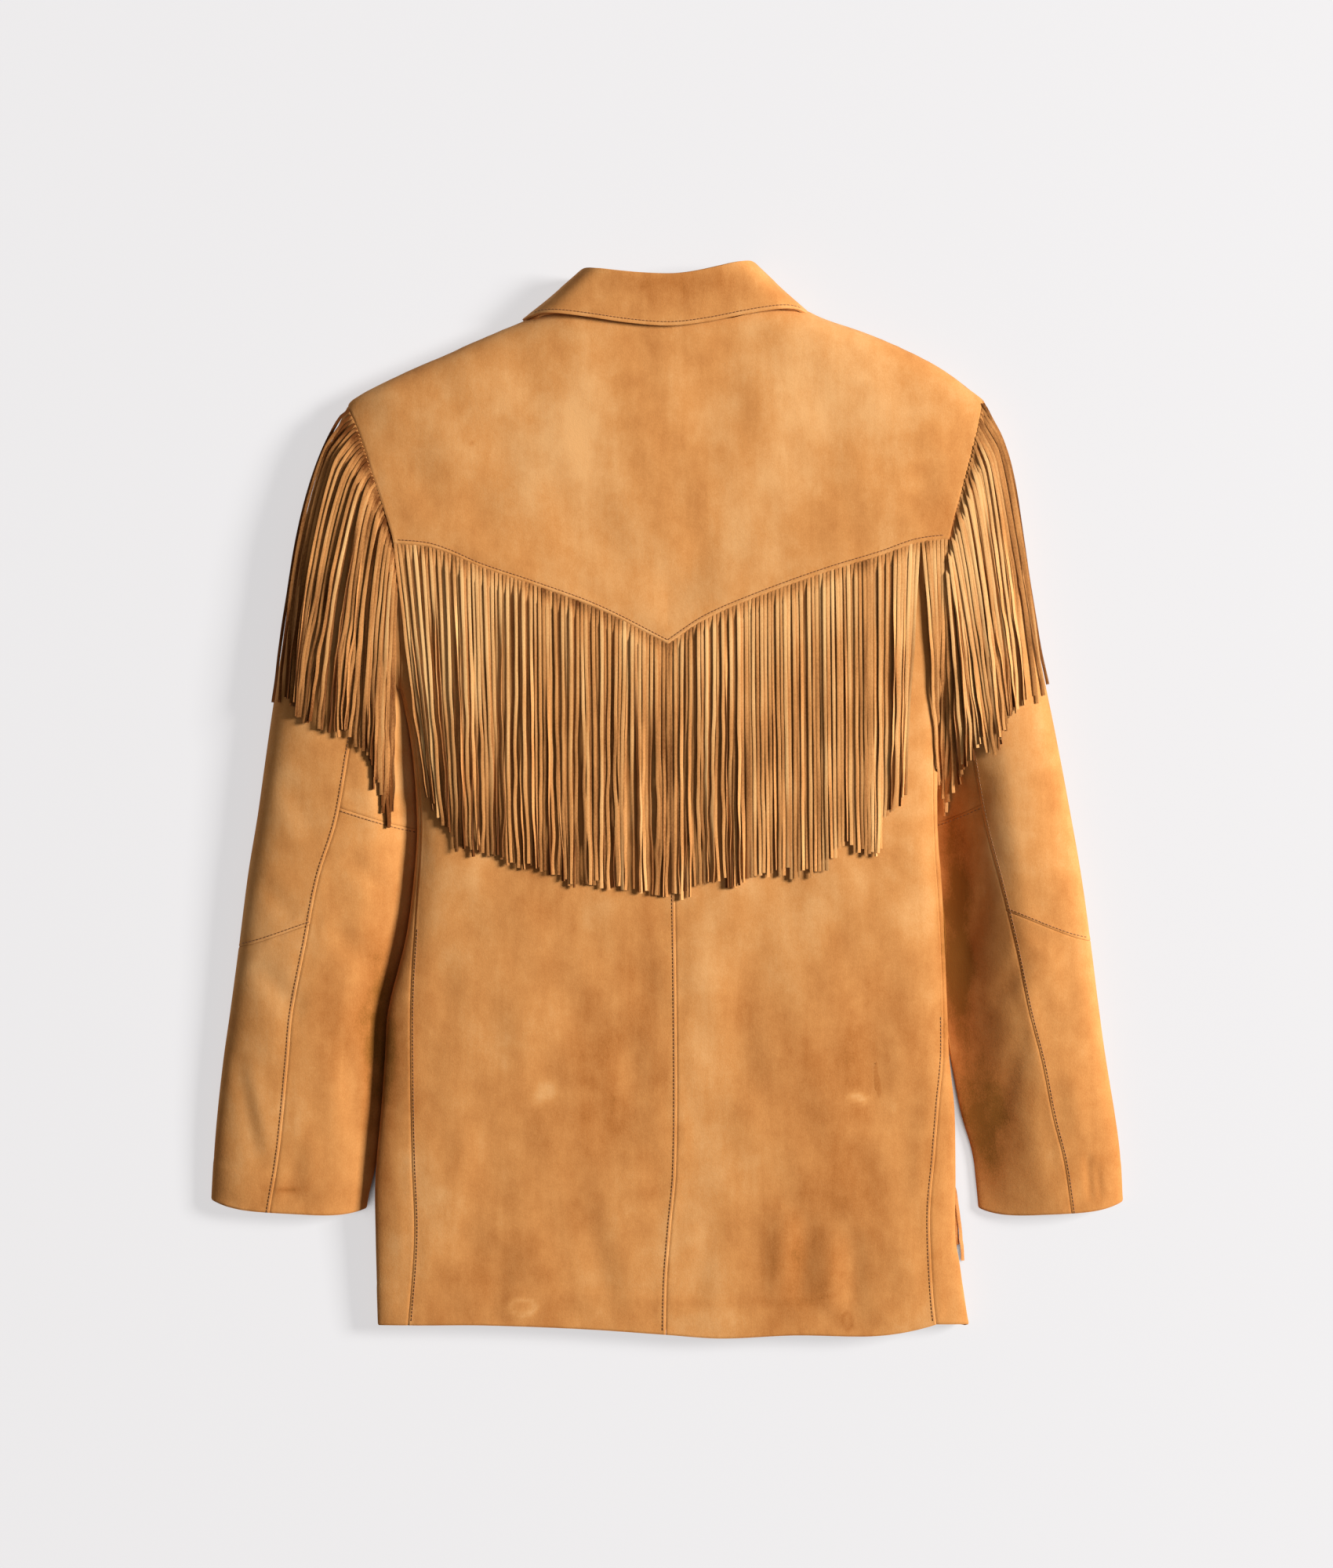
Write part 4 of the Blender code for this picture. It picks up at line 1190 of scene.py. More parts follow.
class Fronts:
    """The two hidden fronts, flat on the table and lapped at the opening."""

    lap = 14.0

    def __init__(self, shop: Workshop) -> None:
        """Keeps the workshop."""
        self.shop = shop
        self.body = shop.body

    def build(self) -> None:
        """Makes both fronts."""
        self.front("left", ARMHOLE_LEFT)
        self.front("right", ARMHOLE_RIGHT)

    def front(self, side: str, armhole: Table) -> None:
        """Makes one front.

        Args:
            side: left or right, as laid.
            armhole: its armhole seam.
        """
        body = self.body
        inward = 0.2 if side == "left" else -0.2

        def outer(y: Array) -> Array:
            """X of the seam under the body, and of the armhole above it."""
            under = under_seam_x(body, side, np.minimum(y, UNDERARM_Y))
            return mix(under, armhole.read("x", y) + inward, ease((y - 81.0) / 6.0))

        def lapped(y: Array) -> Array:
            """X of the edge at the opening."""
            return np.full(np.shape(y), self.lap if side == "left" else -self.lap)

        def top(x: Array) -> Array:
            """Y of the open neck, and of the shoulder fold."""
            neck = 282.0 + (NECK_Y - 282.0) * (np.abs(x) / 80.0) ** 1.2
            limit = NECK_Y + 6.0 * ease((np.abs(x) - 92.0) / 12.0)
            return np.minimum(np.minimum(neck, limit), shoulder_y(body, x) - SHOULDER_SLIT)

        left, right = (outer, lapped) if side == "left" else (lapped, outer)
        up = np.concatenate([np.linspace(0.0, 0.9, 60), 0.9 + 0.1 * np.sin(
            np.linspace(0.08, 1.0, 16) * 0.5 * math.pi)])
        grid = patch(body, body.under, left, right, lambda x: hem_y(x) + 3.0, top,
                     np.linspace(0.0, 1.0, 30), up)
        x, y = grid.points[..., 0], grid.points[..., 1]
        lift = -2.3 * ease((y - 235.0) / 22.0) * ease((150.0 - np.abs(x)) / 30.0)
        if side == "right":
            lift = lift - 2.1 * ease((self.lap + 46.0 - x) / 24.0)
        fold = EdgeFinish.FOLD
        self.shop.shell("front_panel_" + side, "front_" + side, grid, (fold, fold, fold, fold),
                        lift=lift, shows=False)


@dataclass(frozen=True)
class Elbow:
    """A sleeve's seam across: its section at the back seam and at the sleeve's edge."""

    at_seam: float
    at_edge: float

    def line(self, turned: Array) -> Array:
        """The section of the seam, from the back seam at -1 round to the under seam at 1."""
        return mix(self.at_seam, self.at_edge, np.cos(0.5 * math.pi * turned))


class Sleeve:
    """One sleeve: an outer and an under sleeve, each with a seam across."""

    elbows = {"left": (Elbow(6.73, 7.0), Elbow(4.81, 5.0)),
              "right": (Elbow(6.5, 7.0), Elbow(4.76, 4.93))}
    seam_share = 0.001

    def __init__(self, shop: Workshop, side: str, table: Table, armhole: Table) -> None:
        """Sets the sleeve out.

        Args:
            shop: the workshop.
            side: left or right, as laid.
            table: its sections.
            armhole: the body's armhole seam.
        """
        self.shop = shop
        self.side = side
        self.tube = SleeveTube(side, shop.body, table, armhole)
        self.outer_elbow, self.inner_elbow = self.elbows[side]

    def build(self) -> None:
        """Makes the four panels."""
        for half in ("outer", "inner"):
            for upper in (True, False):
                self.panel(half, upper)

    def panel(self, half: str, upper: bool) -> None:
        """Makes one panel, from the back seam round an edge to the seam under the sleeve.

        Args:
            half: outer or inner.
            upper: whether it is above its seam across.
        """
        tube = self.tube
        elbow = self.outer_elbow if half == "outer" else self.inner_elbow
        goes_left = (half == "outer") == (self.side == "left")
        edge = -1.0 if goes_left else 1.0
        gap = 0.002
        stitched, plain, fold = EdgeFinish.STITCHED, EdgeFinish.PLAIN, EdgeFinish.FOLD
        seam_finish = stitched if half == "outer" else plain
        width = 70.0
        top = spread(width, 2.6, seam_finish, fold) - 1.0
        under = np.linspace(0.0, 1.0, 14)[1:]
        turned = np.concatenate([top, under])
        length = 300.0 if upper else 240.0
        elbow_finish = stitched if (half == "outer") == upper else plain
        if upper:
            ends = (plain, elbow_finish)
        else:
            ends = (elbow_finish, EdgeFinish.HEM)
        down = spread(length, self.shop.step, *ends)
        around, share = np.meshgrid(turned, down)
        cross = elbow.line(around)
        if upper:
            station = mix(gap, cross - gap, share)
        else:
            station = mix(cross + gap, tube.last, share)
        seam = tube.table.read("seam", station) + edge * self.seam_share
        on_top = top_angle(mix(seam, edge, 1.0 - np.abs(around) ** ELBOW_BEND), tube.crown)
        if not goes_left:
            on_top = np.where(around >= 0.0, 0.0, on_top)
        start = math.pi if goes_left else 0.0
        stop = 1.5 * math.pi if goes_left else -0.5 * math.pi
        below = mix(start, stop, np.clip(around, 0.0, 1.0) * (1.0 - gap))
        angle = np.where(around <= 0.0, on_top, below)
        grid = Grid(tube.point(angle, station), tube.outward(angle, station))
        name = "%s_%s_%s" % (self.side, half, "upper" if upper else "lower")
        self.shop.shell("sleeve_panel_" + name, "sleeve_" + name, grid,
                        (seam_finish, fold, ends[0], ends[1]))


class Collar:
    """The collar: a fall, rolled over at its top into the stand inside it."""

    corner_rise = 5.2
    height = 39.0
    stitch_line = 3.0
    wall = WALL
    depth = 2.6
    fall_lines = 26
    roll_lines = 7
    stand_lines = 12

    def __init__(self, shop: Workshop) -> None:
        """Keeps the workshop."""
        self.shop = shop
        self.edge_line: Array = np.zeros((0, 3))

    def stations(self) -> tuple[Array, Array, Array]:
        """Sets out the collar from its left front end round to its right front end.

        Returns:
            The fall's lower edge, the roll, and the seam's share of the way up to the roll.
        """
        count = 76
        spots = np.linspace(12.0, 0.0, count)
        table = COLLAR_LEFT
        roll = np.stack([table.read(name, spots) for name in ("roll_x", "roll_y", "z")], axis=1)
        edge = np.stack([table.read(name, spots) for name in ("edge_x", "edge_y", "z")], axis=1)
        seam = np.clip(table.read("seam", spots), 0.03, 0.7)
        under = spots > 5.5
        rise = self.corner_rise * np.where(under, ease((roll[:, 1] - 350.0) / 40.0),
                                           ease(-roll[:, 0] / 62.0))
        flip = np.array([-1.0, 1.0, 1.0])
        right_roll = roll * flip + np.stack([np.ones(count), rise, 0 * rise], axis=1)
        right_edge = edge * flip + np.stack([0 * rise, 0.6 * rise, 0 * rise], axis=1)
        roll = np.concatenate([roll, right_roll[-2::-1]])
        edge = np.concatenate([edge, right_edge[-2::-1]])
        seam = np.concatenate([seam, seam[-2::-1]])
        return edge, roll, seam

    def build(self) -> bpy.types.Object:
        """Makes the folded collar.

        Returns:
            The collar.
        """
        edge, roll, seam = self.stations()
        fall = mix(edge[None], roll[None], np.linspace(0.0, 1.0, self.fall_lines)[:, None, None])
        round_neck = np.gradient(fall, axis=1)
        to_roll = np.gradient(fall, axis=0)
        out = np.cross(round_neck, to_roll)
        out /= np.linalg.norm(out, axis=-1, keepdims=True)
        up = to_roll / np.linalg.norm(to_roll, axis=-1, keepdims=True)
        middle = fall - out * 0.5 * self.wall
        middle_out = [out[row] for row in range(self.fall_lines)]
        lines = [middle[row] for row in range(self.fall_lines)]
        radius = 0.5 * self.depth
        top, top_out, top_up = lines[-1], out[-1], up[-1]
        for turn in np.linspace(0.0, math.pi, self.roll_lines + 2)[1:-1]:
            way = top_out * math.cos(turn) + top_up * math.sin(turn)
            lines.append(top - top_out * radius + way * radius - top_up * radius)
            middle_out.append(way)
        low = mix(edge, roll, seam[:, None])
        below = low - top_out * (0.5 * self.wall + self.depth)
        ground = self.shop.terrain.drop(0.96 * below[:, 0], below[:, 1] - 8.0, floor=1000.0)
        sag = np.clip(below[:, 2] - ground + 2.0, 0.0, 14.0)
        sag = np.convolve(np.pad(sag, 3, mode="edge"), np.full(7, 1.0 / 7.0), mode="valid")
        for share in np.linspace(0.0, 1.0, self.stand_lines):
            line = mix(roll - top_up * radius, low, share) - top_out * (0.5 * self.wall + self.depth)
            lines.append(line - np.stack([0 * sag, 0 * sag, sag * share ** 2], axis=1))
            middle_out.append(-top_out)
        middle = np.stack(lines)
        outward = np.stack(middle_out)
        grid = Grid(middle, outward)
        far = grid.distances()[2]
        x, y = middle[..., 0], middle[..., 1]
        shape = 0.25 * np.exp(-((far - 1.4) / 1.3) ** 2) - 0.3 * np.exp(-((far - 3.0) / 0.6) ** 2)
        shape += 0.25 * ripple(x, y, 30.0, SEED + 5) * ease(far / 10.0) * (far < 36.0)
        half = 0.5 * self.wall
        outer = middle + outward * (half + shape)[..., None]
        inner = middle - outward * half
        # Painted shade along the fall's lower edge, and a painted highlight on the bulge of its
        # folded edge.
        tone = -0.08 * np.exp(-(far / 1.2) ** 2) + 0.1 * np.exp(-((far - 1.7) / 1.2) ** 2)
        for wear_and_shade in WEAR_AND_PAINTED_SHADE:
            tone = tone + wear_and_shade.tone(x, y) * (outward[..., 2] > 0.3)
        item = self.shop.closed("collar", outer, inner, outward, self.shop.suede, tone)
        cols = outer.shape[1]
        self.shop.terrain.add(outer[:self.fall_lines].reshape(-1, 3),
                              grid_faces(self.fall_lines, cols))
        self.edge_line = mix(edge, roll, self.stitch_line / self.height)
        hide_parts("collar_fall", "collar_stand")
        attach(item, "root")
        spans = (float(np.max(grid.distances()[0])), float(np.max(far)))
        width = spans[0] + 2.0 * COLLAR_ALLOWANCE
        length = spans[1] + 2.0 * COLLAR_ALLOWANCE
        cut = COLLAR_AREA_SHARE * width * length
        self.shop.cuts.append((item, width, length, "folded", cut))
        LOG.info("collar: cut %.0f x %.0f mm, %.4f m2", width, length, cut * MM * MM)
        return item


@dataclass
class Strands:
    """Strips of cut suede that hang from a seam and lie on the cloth below."""

    shop: Workshop
    name: str
    node: str
    width: float = 2.35
    thickness: float = 1.2
    segments: int = 48
    seed: int = 11
    # tone added to every strand; below zero it is painted shade
    shade: float = 0.02
    edge: Optional[Place] = None
    beyond: float = 3.0         # how far the outermost strands hang past the edge
    swing: float = 2.6          # how far a bow of 1 swings a strand out
    bunching: float = 0.26      # the greatest pull of a bunch on its strands
    root_depth: float = 0.7     # how deep a root sits in the seam
    clearance: float = 0.2      # the least height over the surface below
    edge_inset: float = 4.0     # where past-edge strands take their height from

    def build(self, roots: Array, tips: Array, bows: Array, spread_by: Array
              ) -> bpy.types.Object:
        """Lays out the strands and makes them one mesh.

        Args:
            roots: X and Y of each strand's root.
            tips: X and Y of each strand's cut end.
            bows: how far each strand swings out sideways at its middle.
            spread_by: how loosely each strand hangs.

        Returns:
            The strands.
        """
        draw = np.random.default_rng(self.seed)
        count = len(roots)
        share = np.linspace(0.0, 1.0, self.segments)[None, :]
        x = mix(roots[:, :1], tips[:, :1], share)
        x = x + self.swing * bows[:, None] * np.sqrt(share) * (1.0 - share)
        y = mix(roots[:, 1:], tips[:, 1:], share)
        groups = np.cumsum(draw.random(count) < 0.3)
        groups -= groups[0]
        pull = draw.uniform(0.0, self.bunching, groups[-1] + 1)[groups] * spread_by
        centre = np.array([x[groups == group].mean(axis=0) for group in range(groups[-1] + 1)])
        x = mix(x, centre[groups], pull[:, None] * ease((share - 0.12) / 0.7))
        loose = ease((share - 0.05) / 0.8) * spread_by[:, None]
        own = draw.uniform(-1.0, 1.0, (count, 4))
        x = x + loose * (1.2 * own[:, :1] * np.sin(2.2 * share + 3.0 * own[:, 1:2])
                         + 1.0 * own[:, 2:3] * np.sin(9.0 * share + 6.0 * own[:, 3:4])
                         + 0.7 * own[:, 1:2] * np.sin(23.0 * share + 6.0 * own[:, :1])
                         + 0.3 * own[:, 3:4] * np.sin(43.0 * share + 6.0 * own[:, 2:3]))
        x = x + loose * 1.3 * ripple(x, 0.3 * y, 34.0, self.seed + 3)
        rank = np.arange(count)
        ground_x = x
        over = np.zeros_like(x)
        if self.edge is not None:
            side = 1.0 if roots[0, 0] > 0.0 else -1.0
            edge = self.edge(y)
            held = np.exp(-rank / 4.0)[:, None] * ease(share / 0.12)
            outermost = edge + side * self.beyond * (1.0 - 0.6 * share)
            x = mix(x, outermost, held * (1.0 - 0.5 * share ** 3))
            over = np.maximum(side * (x - edge), 0.0)
            ground_x = side * np.minimum(side * x, side * edge - self.edge_inset)
        angle = self.twists(draw, count, share) * np.sqrt(spread_by)[:, None]
        level = (np.arange(count) % 2 * 1.2 + draw.uniform(0.0, 1.6, count))[:, None]
        hug = ease((np.minimum(rank, count - 1 - rank) + 1.0) / 9.0)[:, None]
        level = (level + 1.7) * ease((share - 0.005) / 0.06) * (1.0 - 0.55 * share ** 3)
        level = level * (0.25 + 0.75 * hug)
        stand = 0.5 * (np.abs(np.sin(angle)) * self.width + np.abs(np.cos(angle)) * self.thickness)
        out = ease(share / 0.05)
        ground = self.shop.terrain.drop(ground_x, y)
        z = ground + (stand + level + 0.1) * out - self.root_depth * (1.0 - out)
        z = np.maximum(self.smooth(z) - 0.8 * over, stand + self.clearance)
        path = np.stack([x, y, z], axis=-1)
        points, faces = self.strips(path, angle, draw)
        # Tone: random per strand, plus painted light: raised strands lighter and low ones darker, a
        # painted highlight along a fifth of the strands, painted shade on each section's two lower
        # corners and a faint painted highlight on its crest.
        tone = draw.normal(self.shade, 0.055, count)[:, None] + 0.07 * (level - 2.2)
        painted_highlight = draw.choice([0.0, 0.13], count, p=[0.8, 0.2])[:, None]
        tone = tone + painted_highlight * ease(1.2 * np.sin(5.0 * share + 6.0 * own[:, 1:2]))
        tone = tone + 0.05 * np.sin(14.0 * share + 9.0 * own[:, :1])
        tone = tone[:, :, None] + np.array([-0.6, -0.6, 0.0, 0.03, 0.0])
        tone = tone.ravel()
        item = object_from(self.name, points, faces, self.shop.fringe, tone)
        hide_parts(self.node)
        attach(item, "root")
        LOG.info("%s: %d strands, %.0f to %.0f mm long", self.name, count,
                 *np.percentile(np.hypot(*(tips - roots).T), [5, 95]))
        return item

    def twists(self, draw: np.random.Generator, count: int, share: Array) -> Array:
        """Turns each strand about its own length.

        Args:
            draw: the seeded draw.
            count: the number of strands.
            share: the shares along a strand.

        Returns:
            The turn at each place, flat at the root.
        """
        size = draw.choice([0.18, 0.6, 1.5, 3.0], count, p=[0.4, 0.3, 0.18, 0.12])[:, None]
        start = draw.uniform(0.05, 0.6, count)[:, None]
        sense = draw.choice([-1.0, 1.0], count)[:, None]
        return size * sense * ease((share - start) / 0.45) * (0.7 + 0.3 * np.sin(7.0 * share))

    def smooth(self, z: Array) -> Array:
        """Evens the heights along each strand, never into the cloth by much.

        Args:
            z: heights, a row for each strand.

        Returns:
            The evened heights.
        """
        padded = np.pad(z, ((0, 0), (2, 2)), mode="edge")
        low = np.max([padded[:, step:step + z.shape[1]] for step in range(5)], axis=0)
        low = mix(z, low, ease((np.arange(z.shape[1]) - 3.0) / 4.0))
        z = low
        for _ in range(4):
            padded = np.pad(z, ((0, 0), (1, 1)), mode="edge")
            z = np.maximum(0.25 * padded[:, :-2] + 0.5 * z + 0.25 * padded[:, 2:], low - 0.15)
        return z

    def strips(self, path: Array, angle: Array, draw: np.random.Generator
               ) -> tuple[Array, list[list[int]]]:
        """Gives every strand a domed section and square ends.

        Args:
            path: the middle line of each strand.
            angle: its turn at each place.
            draw: the seeded draw.

        Returns:
            The points, and the faces as point numbers.
        """
        count, segments = path.shape[:2]
        along = np.gradient(path, axis=1)
        along /= np.linalg.norm(along, axis=-1, keepdims=True)
        flat = np.cross(along, np.array([0.0, 0.0, 1.0]))
        flat /= np.linalg.norm(flat, axis=-1, keepdims=True)
        up = np.cross(flat, along)
        cosine, sine = np.cos(angle)[..., None], np.sin(angle)[..., None]
        across = flat * cosine + up * sine
        normal = up * cosine - flat * sine
        width = self.width * draw.uniform(0.93, 1.07, (count, 1, 1))
        uneven = 1.0 + 0.07 * np.sin(np.linspace(0.0, 19.0, segments))
        width = width * uneven[None, :, None]
        section = ((-0.9, -1.0), (0.9, -1.0), (1.0, 0.75), (0.0, 1.1), (-1.0, 0.75))
        corners = [path + 0.5 * (side * width * across + high * self.thickness * normal)
                   for side, high in section]
        points = np.stack(corners, axis=2).reshape(-1, 3)
        size = len(section)
        base = (np.arange(count)[:, None] * segments + np.arange(segments - 1)[None]).ravel()
        base = base * size
        faces = [np.stack([base + side, base + (side + 1) % size, base + size + (side + 1) % size,
                           base + size + side], axis=1)[:, ::-1] for side in range(size)]
        faces = np.concatenate(faces).tolist()
        first = np.arange(count)[:, None] * segments * size + np.arange(size)[None]
        last = first[:, ::-1] + (segments - 1) * size
        return points, faces + first.tolist() + last.tolist()


class Fringes:
    """All the cut fringe: under the yoke, in both armholes and at the hip."""

    def __init__(self, shop: Workshop) -> None:
        """Keeps the workshop."""
        self.shop = shop

    def build(self) -> None:
        """Makes every fringe."""
        self.yoke("left", -201.0, 0.2, 71, 21)
        self.yoke("right", 2.9, 206.0, 71, 23)
        self.sleeve("left", ARMHOLE_LEFT, LEFT_TIPS, 50, 31)
        self.sleeve("right", ARMHOLE_RIGHT, RIGHT_TIPS, 46, 37)
        self.hip()

    def yoke(self, side: str, start: float, stop: float, count: int, seed: int) -> None:
        """Makes one half of the fringe under the yoke.

        Args:
            side: left or right, as laid.
            start: X of the first root.
            stop: X of the last root.
            count: the number of strands.
            seed: picks how they hang.
        """
        draw = np.random.default_rng(seed)
        x = np.linspace(start, stop, count)
        roots = np.stack([x, yoke_y(x) + 1.6], axis=1)
        tip_x = x + YOKE_DRIFT.read("drift", x)
        tip_y = YOKE_TIPS.read("y", x) + draw.normal(0.0, 2.2, count)
        tips = np.stack([tip_x, tip_y], axis=1)
        strands = Strands(self.shop, "yoke_fringe_" + side, "fringe_yoke_" + side,
                          seed=seed + 1)
        calm = np.exp(-((x - 108.0) / 52.0) ** 4)
        strands.build(roots, tips, draw.normal(0.0, 0.4, count), 0.8 - 0.6 * calm)

    def sleeve(self, side: str, armhole: Table, ends: Table, count: int, seed: int) -> None:
        """Makes the fringe in one armhole, which swings out round the shoulder.

        Args:
            side: left or right, as laid.
            armhole: the seam that holds it.
            ends: where its strands end.
            count: the number of strands.
            seed: picks how they hang.
        """
        draw = np.random.default_rng(seed)
        share = np.linspace(0.0, 1.0, count)
        sign = -1.0 if side == "left" else 1.0
        top_y = float(armhole.keys[-1]) - 3.0
        root_y = mix(top_y, 160.0, share ** 0.9)
        roots = np.stack([armhole.read("x", root_y) + sign * 0.3, root_y], axis=1)
        tips = np.stack([ends.read("x", share), ends.read("y", share)], axis=1)
        tips += draw.normal(0.0, 1.0, tips.shape) * np.array([0.8, 2.2])
        reach = 10.0 if side == "left" else 3.0
        swing = sign * (reach * (1.0 - share) ** 1.5 + 1.5 + draw.normal(0.0, 0.9, count))
        # the left fringe's shade of -0.2 is painted shade, for strands that turn away from the light
        strands = Strands(self.shop, "armhole_fringe_" + side, "fringe_sleeve_" + side,
                          seed=seed + 1, shade=-0.2 if side == "left" else 0.0,
                          edge=self.sleeve_edge(SLEEVE_LEFT if side == "left" else SLEEVE_RIGHT),
                          beyond=2.6 if side == "left" else 0.8)
        strands.build(roots, tips, swing, np.full(count, 0.9))

    def sleeve_edge(self, table: Table) -> Place:
        """Finds a sleeve's outer edge.

        Args:
            table: the sleeve's sections.

        Returns:
            The function that gives X of the edge at each Y.
        """
        station = np.linspace(0.0, 12.0, 121)
        edge_x, edge_y = table.read("outer_x", station), table.read("outer_y", station)
        return lambda y: np.interp(y, edge_y[::-1], edge_x[::-1])

    def hip(self) -> None:
        """Makes the end of a front's fringe, past the body's right edge."""
        roots = np.array([(209.0, -282.0), (212.5, -286.0), (210.0, -296.0)])
        tips = np.array([(216.4, -330.0), (219.6, -342.0), (214.5, -338.0)])
        strands = Strands(self.shop, "hip_fringe", "fringe_hip", segments=16, seed=5,
                          thickness=1.0)
        shown = self.shop.terrain
        self.shop.terrain = Terrain()
        self.shop.terrain.add(np.array([(0, 0, 0), (1, 0, 0), (1, 1, 0), (0, 1, 0)]),
                              np.array([(0, 1, 2, 3)]))
        strands.build(roots, tips, np.array([1.5, 1.0, 2.0]), np.full(3, 0.3))
        self.shop.terrain = shown


class Stitches:
    """Rows of machine stitches, sunk a little in the suede."""

    length = 1.7
    radius = 0.36

    def __init__(self, shop: Workshop) -> None:
        """Keeps the workshop."""
        self.shop = shop
        self.places: list[Array] = []

    def row(self, x: Array, y: Array) -> None:
        """Sets out a row of stitches.

        Args:
            x: places across, along the row.
            y: places along, along the row.
        """
        gone = np.concatenate([[0.0], np.cumsum(np.hypot(np.diff(x), np.diff(y)))])
        count = max(2, int(gone[-1] / STITCH_PITCH))
        at = (np.arange(count) + 0.5) * gone[-1] / count
        ends = []
        for side in (-0.5, 0.5):
            place = at + side * self.length
            end_x, end_y = np.interp(place, gone, x), np.interp(place, gone, y)
            end_z = self.shop.terrain.drop(end_x, end_y, floor=-50.0)
            ends.append(np.stack([end_x, end_y, end_z + 0.12], axis=1))
        self.places.append(np.stack(ends, axis=1))

    def one(self) -> tuple[Array, Array]:
        """Models one stitch: a short rod with its ends drawn in.

        Returns:
            Its points, 1 mm long along X, and its faces.
        """
        bpy.ops.object.select_all(action="DESELECT")
        bpy.ops.mesh.primitive_cylinder_add(vertices=6, radius=1.0, depth=1.0,
                                            rotation=(0.0, 0.5 * math.pi, 0.0))
        rod = bpy.context.active_object
        bpy.ops.object.transform_apply(location=True, rotation=True, scale=True)
        bpy.ops.object.mode_set(mode="EDIT")
        bpy.ops.mesh.select_all(action="DESELECT")
        bpy.ops.mesh.select_mode(type="FACE")
        bpy.ops.object.mode_set(mode="OBJECT")
        for face in rod.data.polygons:
            face.select = abs(face.normal.x) > 0.9
        bpy.ops.object.mode_set(mode="EDIT")
        bpy.ops.mesh.inset(thickness=0.4, depth=0.12)
        bpy.ops.object.mode_set(mode="OBJECT")
        bpy.ops.object.modifier_add(type="TRIANGULATE")
        bpy.ops.object.modifier_apply(modifier=rod.modifiers[0].name)
        points = np.array([vert.co[:] for vert in rod.data.vertices])
        faces = np.array([face.vertices[:] for face in rod.data.polygons])
        bpy.data.objects.remove(rod, do_unlink=True)
        return points, faces

    def build(self) -> bpy.types.Object:
        """Copies the stitch to every place and makes the copies one mesh.

        Returns:
            The stitches.
        """
        ends = np.concatenate(self.places)
        ends = ends[np.min(ends[:, :, 2], axis=1) > -10.0]
        shape, faces = self.one()
        middle = ends.mean(axis=1)
        along = ends[:, 1] - ends[:, 0]
        size = np.linalg.norm(along, axis=1, keepdims=True)
        along = along / size
        side = np.cross(along, np.array([0.0, 0.0, 1.0]))
        side /= np.linalg.norm(side, axis=1, keepdims=True)
        up = np.cross(side, along)
        points = (middle[:, None] + shape[None, :, :1] * along[:, None] * self.length
                  + shape[None, :, 1:2] * side[:, None] * self.radius
                  + shape[None, :, 2:] * up[:, None] * self.radius)
        steps = np.arange(len(ends))[:, None, None] * len(shape)
        item = object_from("stitches", points.reshape(-1, 3), (faces[None] + steps).reshape(-1, 3),
                           self.shop.thread)
        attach(item, "root")
        LOG.info("stitches: %d of them", len(ends))
        return item


def sew(shop: Workshop, sleeves: Sequence[Sleeve], collar: Collar) -> None:
    """Sets out every row of topstitching.

    Args:
        shop: the workshop.
        sleeves: the two sleeves.
        collar: the collar.
    """
    stitches = Stitches(shop)
    x = np.linspace(-199.0, YOKE_POINT_X, 90)
    stitches.row(x, yoke_y(x) + YOKE_STITCH)
    x = np.linspace(YOKE_POINT_X, 204.0, 90)
    stitches.row(x, yoke_y(x) + YOKE_STITCH)
    y = np.linspace(-393.0, -56.0, 90)
    stitches.row(CENTRE_BACK.read("x", y) - SEAM_STITCH, y)
    y = np.linspace(-386.0, -95.0, 90)
    stitches.row(SIDE_SEAM_LEFT.read("x", y) + SEAM_STITCH, y)
    y = np.linspace(-386.0, -160.0, 90)
    stitches.row(SIDE_SEAM_RIGHT.read("x", y) - SEAM_STITCH, y)
    for sleeve in sleeves:
        tube = sleeve.tube
        station = np.linspace(2.4, 12.0, 120)
        across = tube.table.read("seam", station)
        x, y = tube.plan(across, station)
        stitches.row(x + tube.outer_sign * SEAM_STITCH, y)
        seam_at = sleeve.outer_elbow.at_seam
        turned = np.linspace(-1.0, -0.1, 40)
        station = sleeve.outer_elbow.line(turned)
        seam = tube.table.read("seam", seam_at)
        across = mix(seam, tube.outer_sign, 1.0 - np.abs(turned) ** ELBOW_BEND)
        x, y = tube.plan(across, station)
        stitches.row(x, y + SEAM_STITCH)
        station = sleeve.inner_elbow.line(turned)
        seam = tube.table.read("seam", sleeve.inner_elbow.at_seam)
        across = mix(seam, -tube.outer_sign, 1.0 - np.abs(turned) ** ELBOW_BEND)
        x, y = tube.plan(across, station)
        stitches.row(x, y - SEAM_STITCH)
    upper = collar.edge_line[collar.edge_line[:, 2] > 24.0]
    stitches.row(upper[:, 0], upper[:, 1])
    stitches.build()


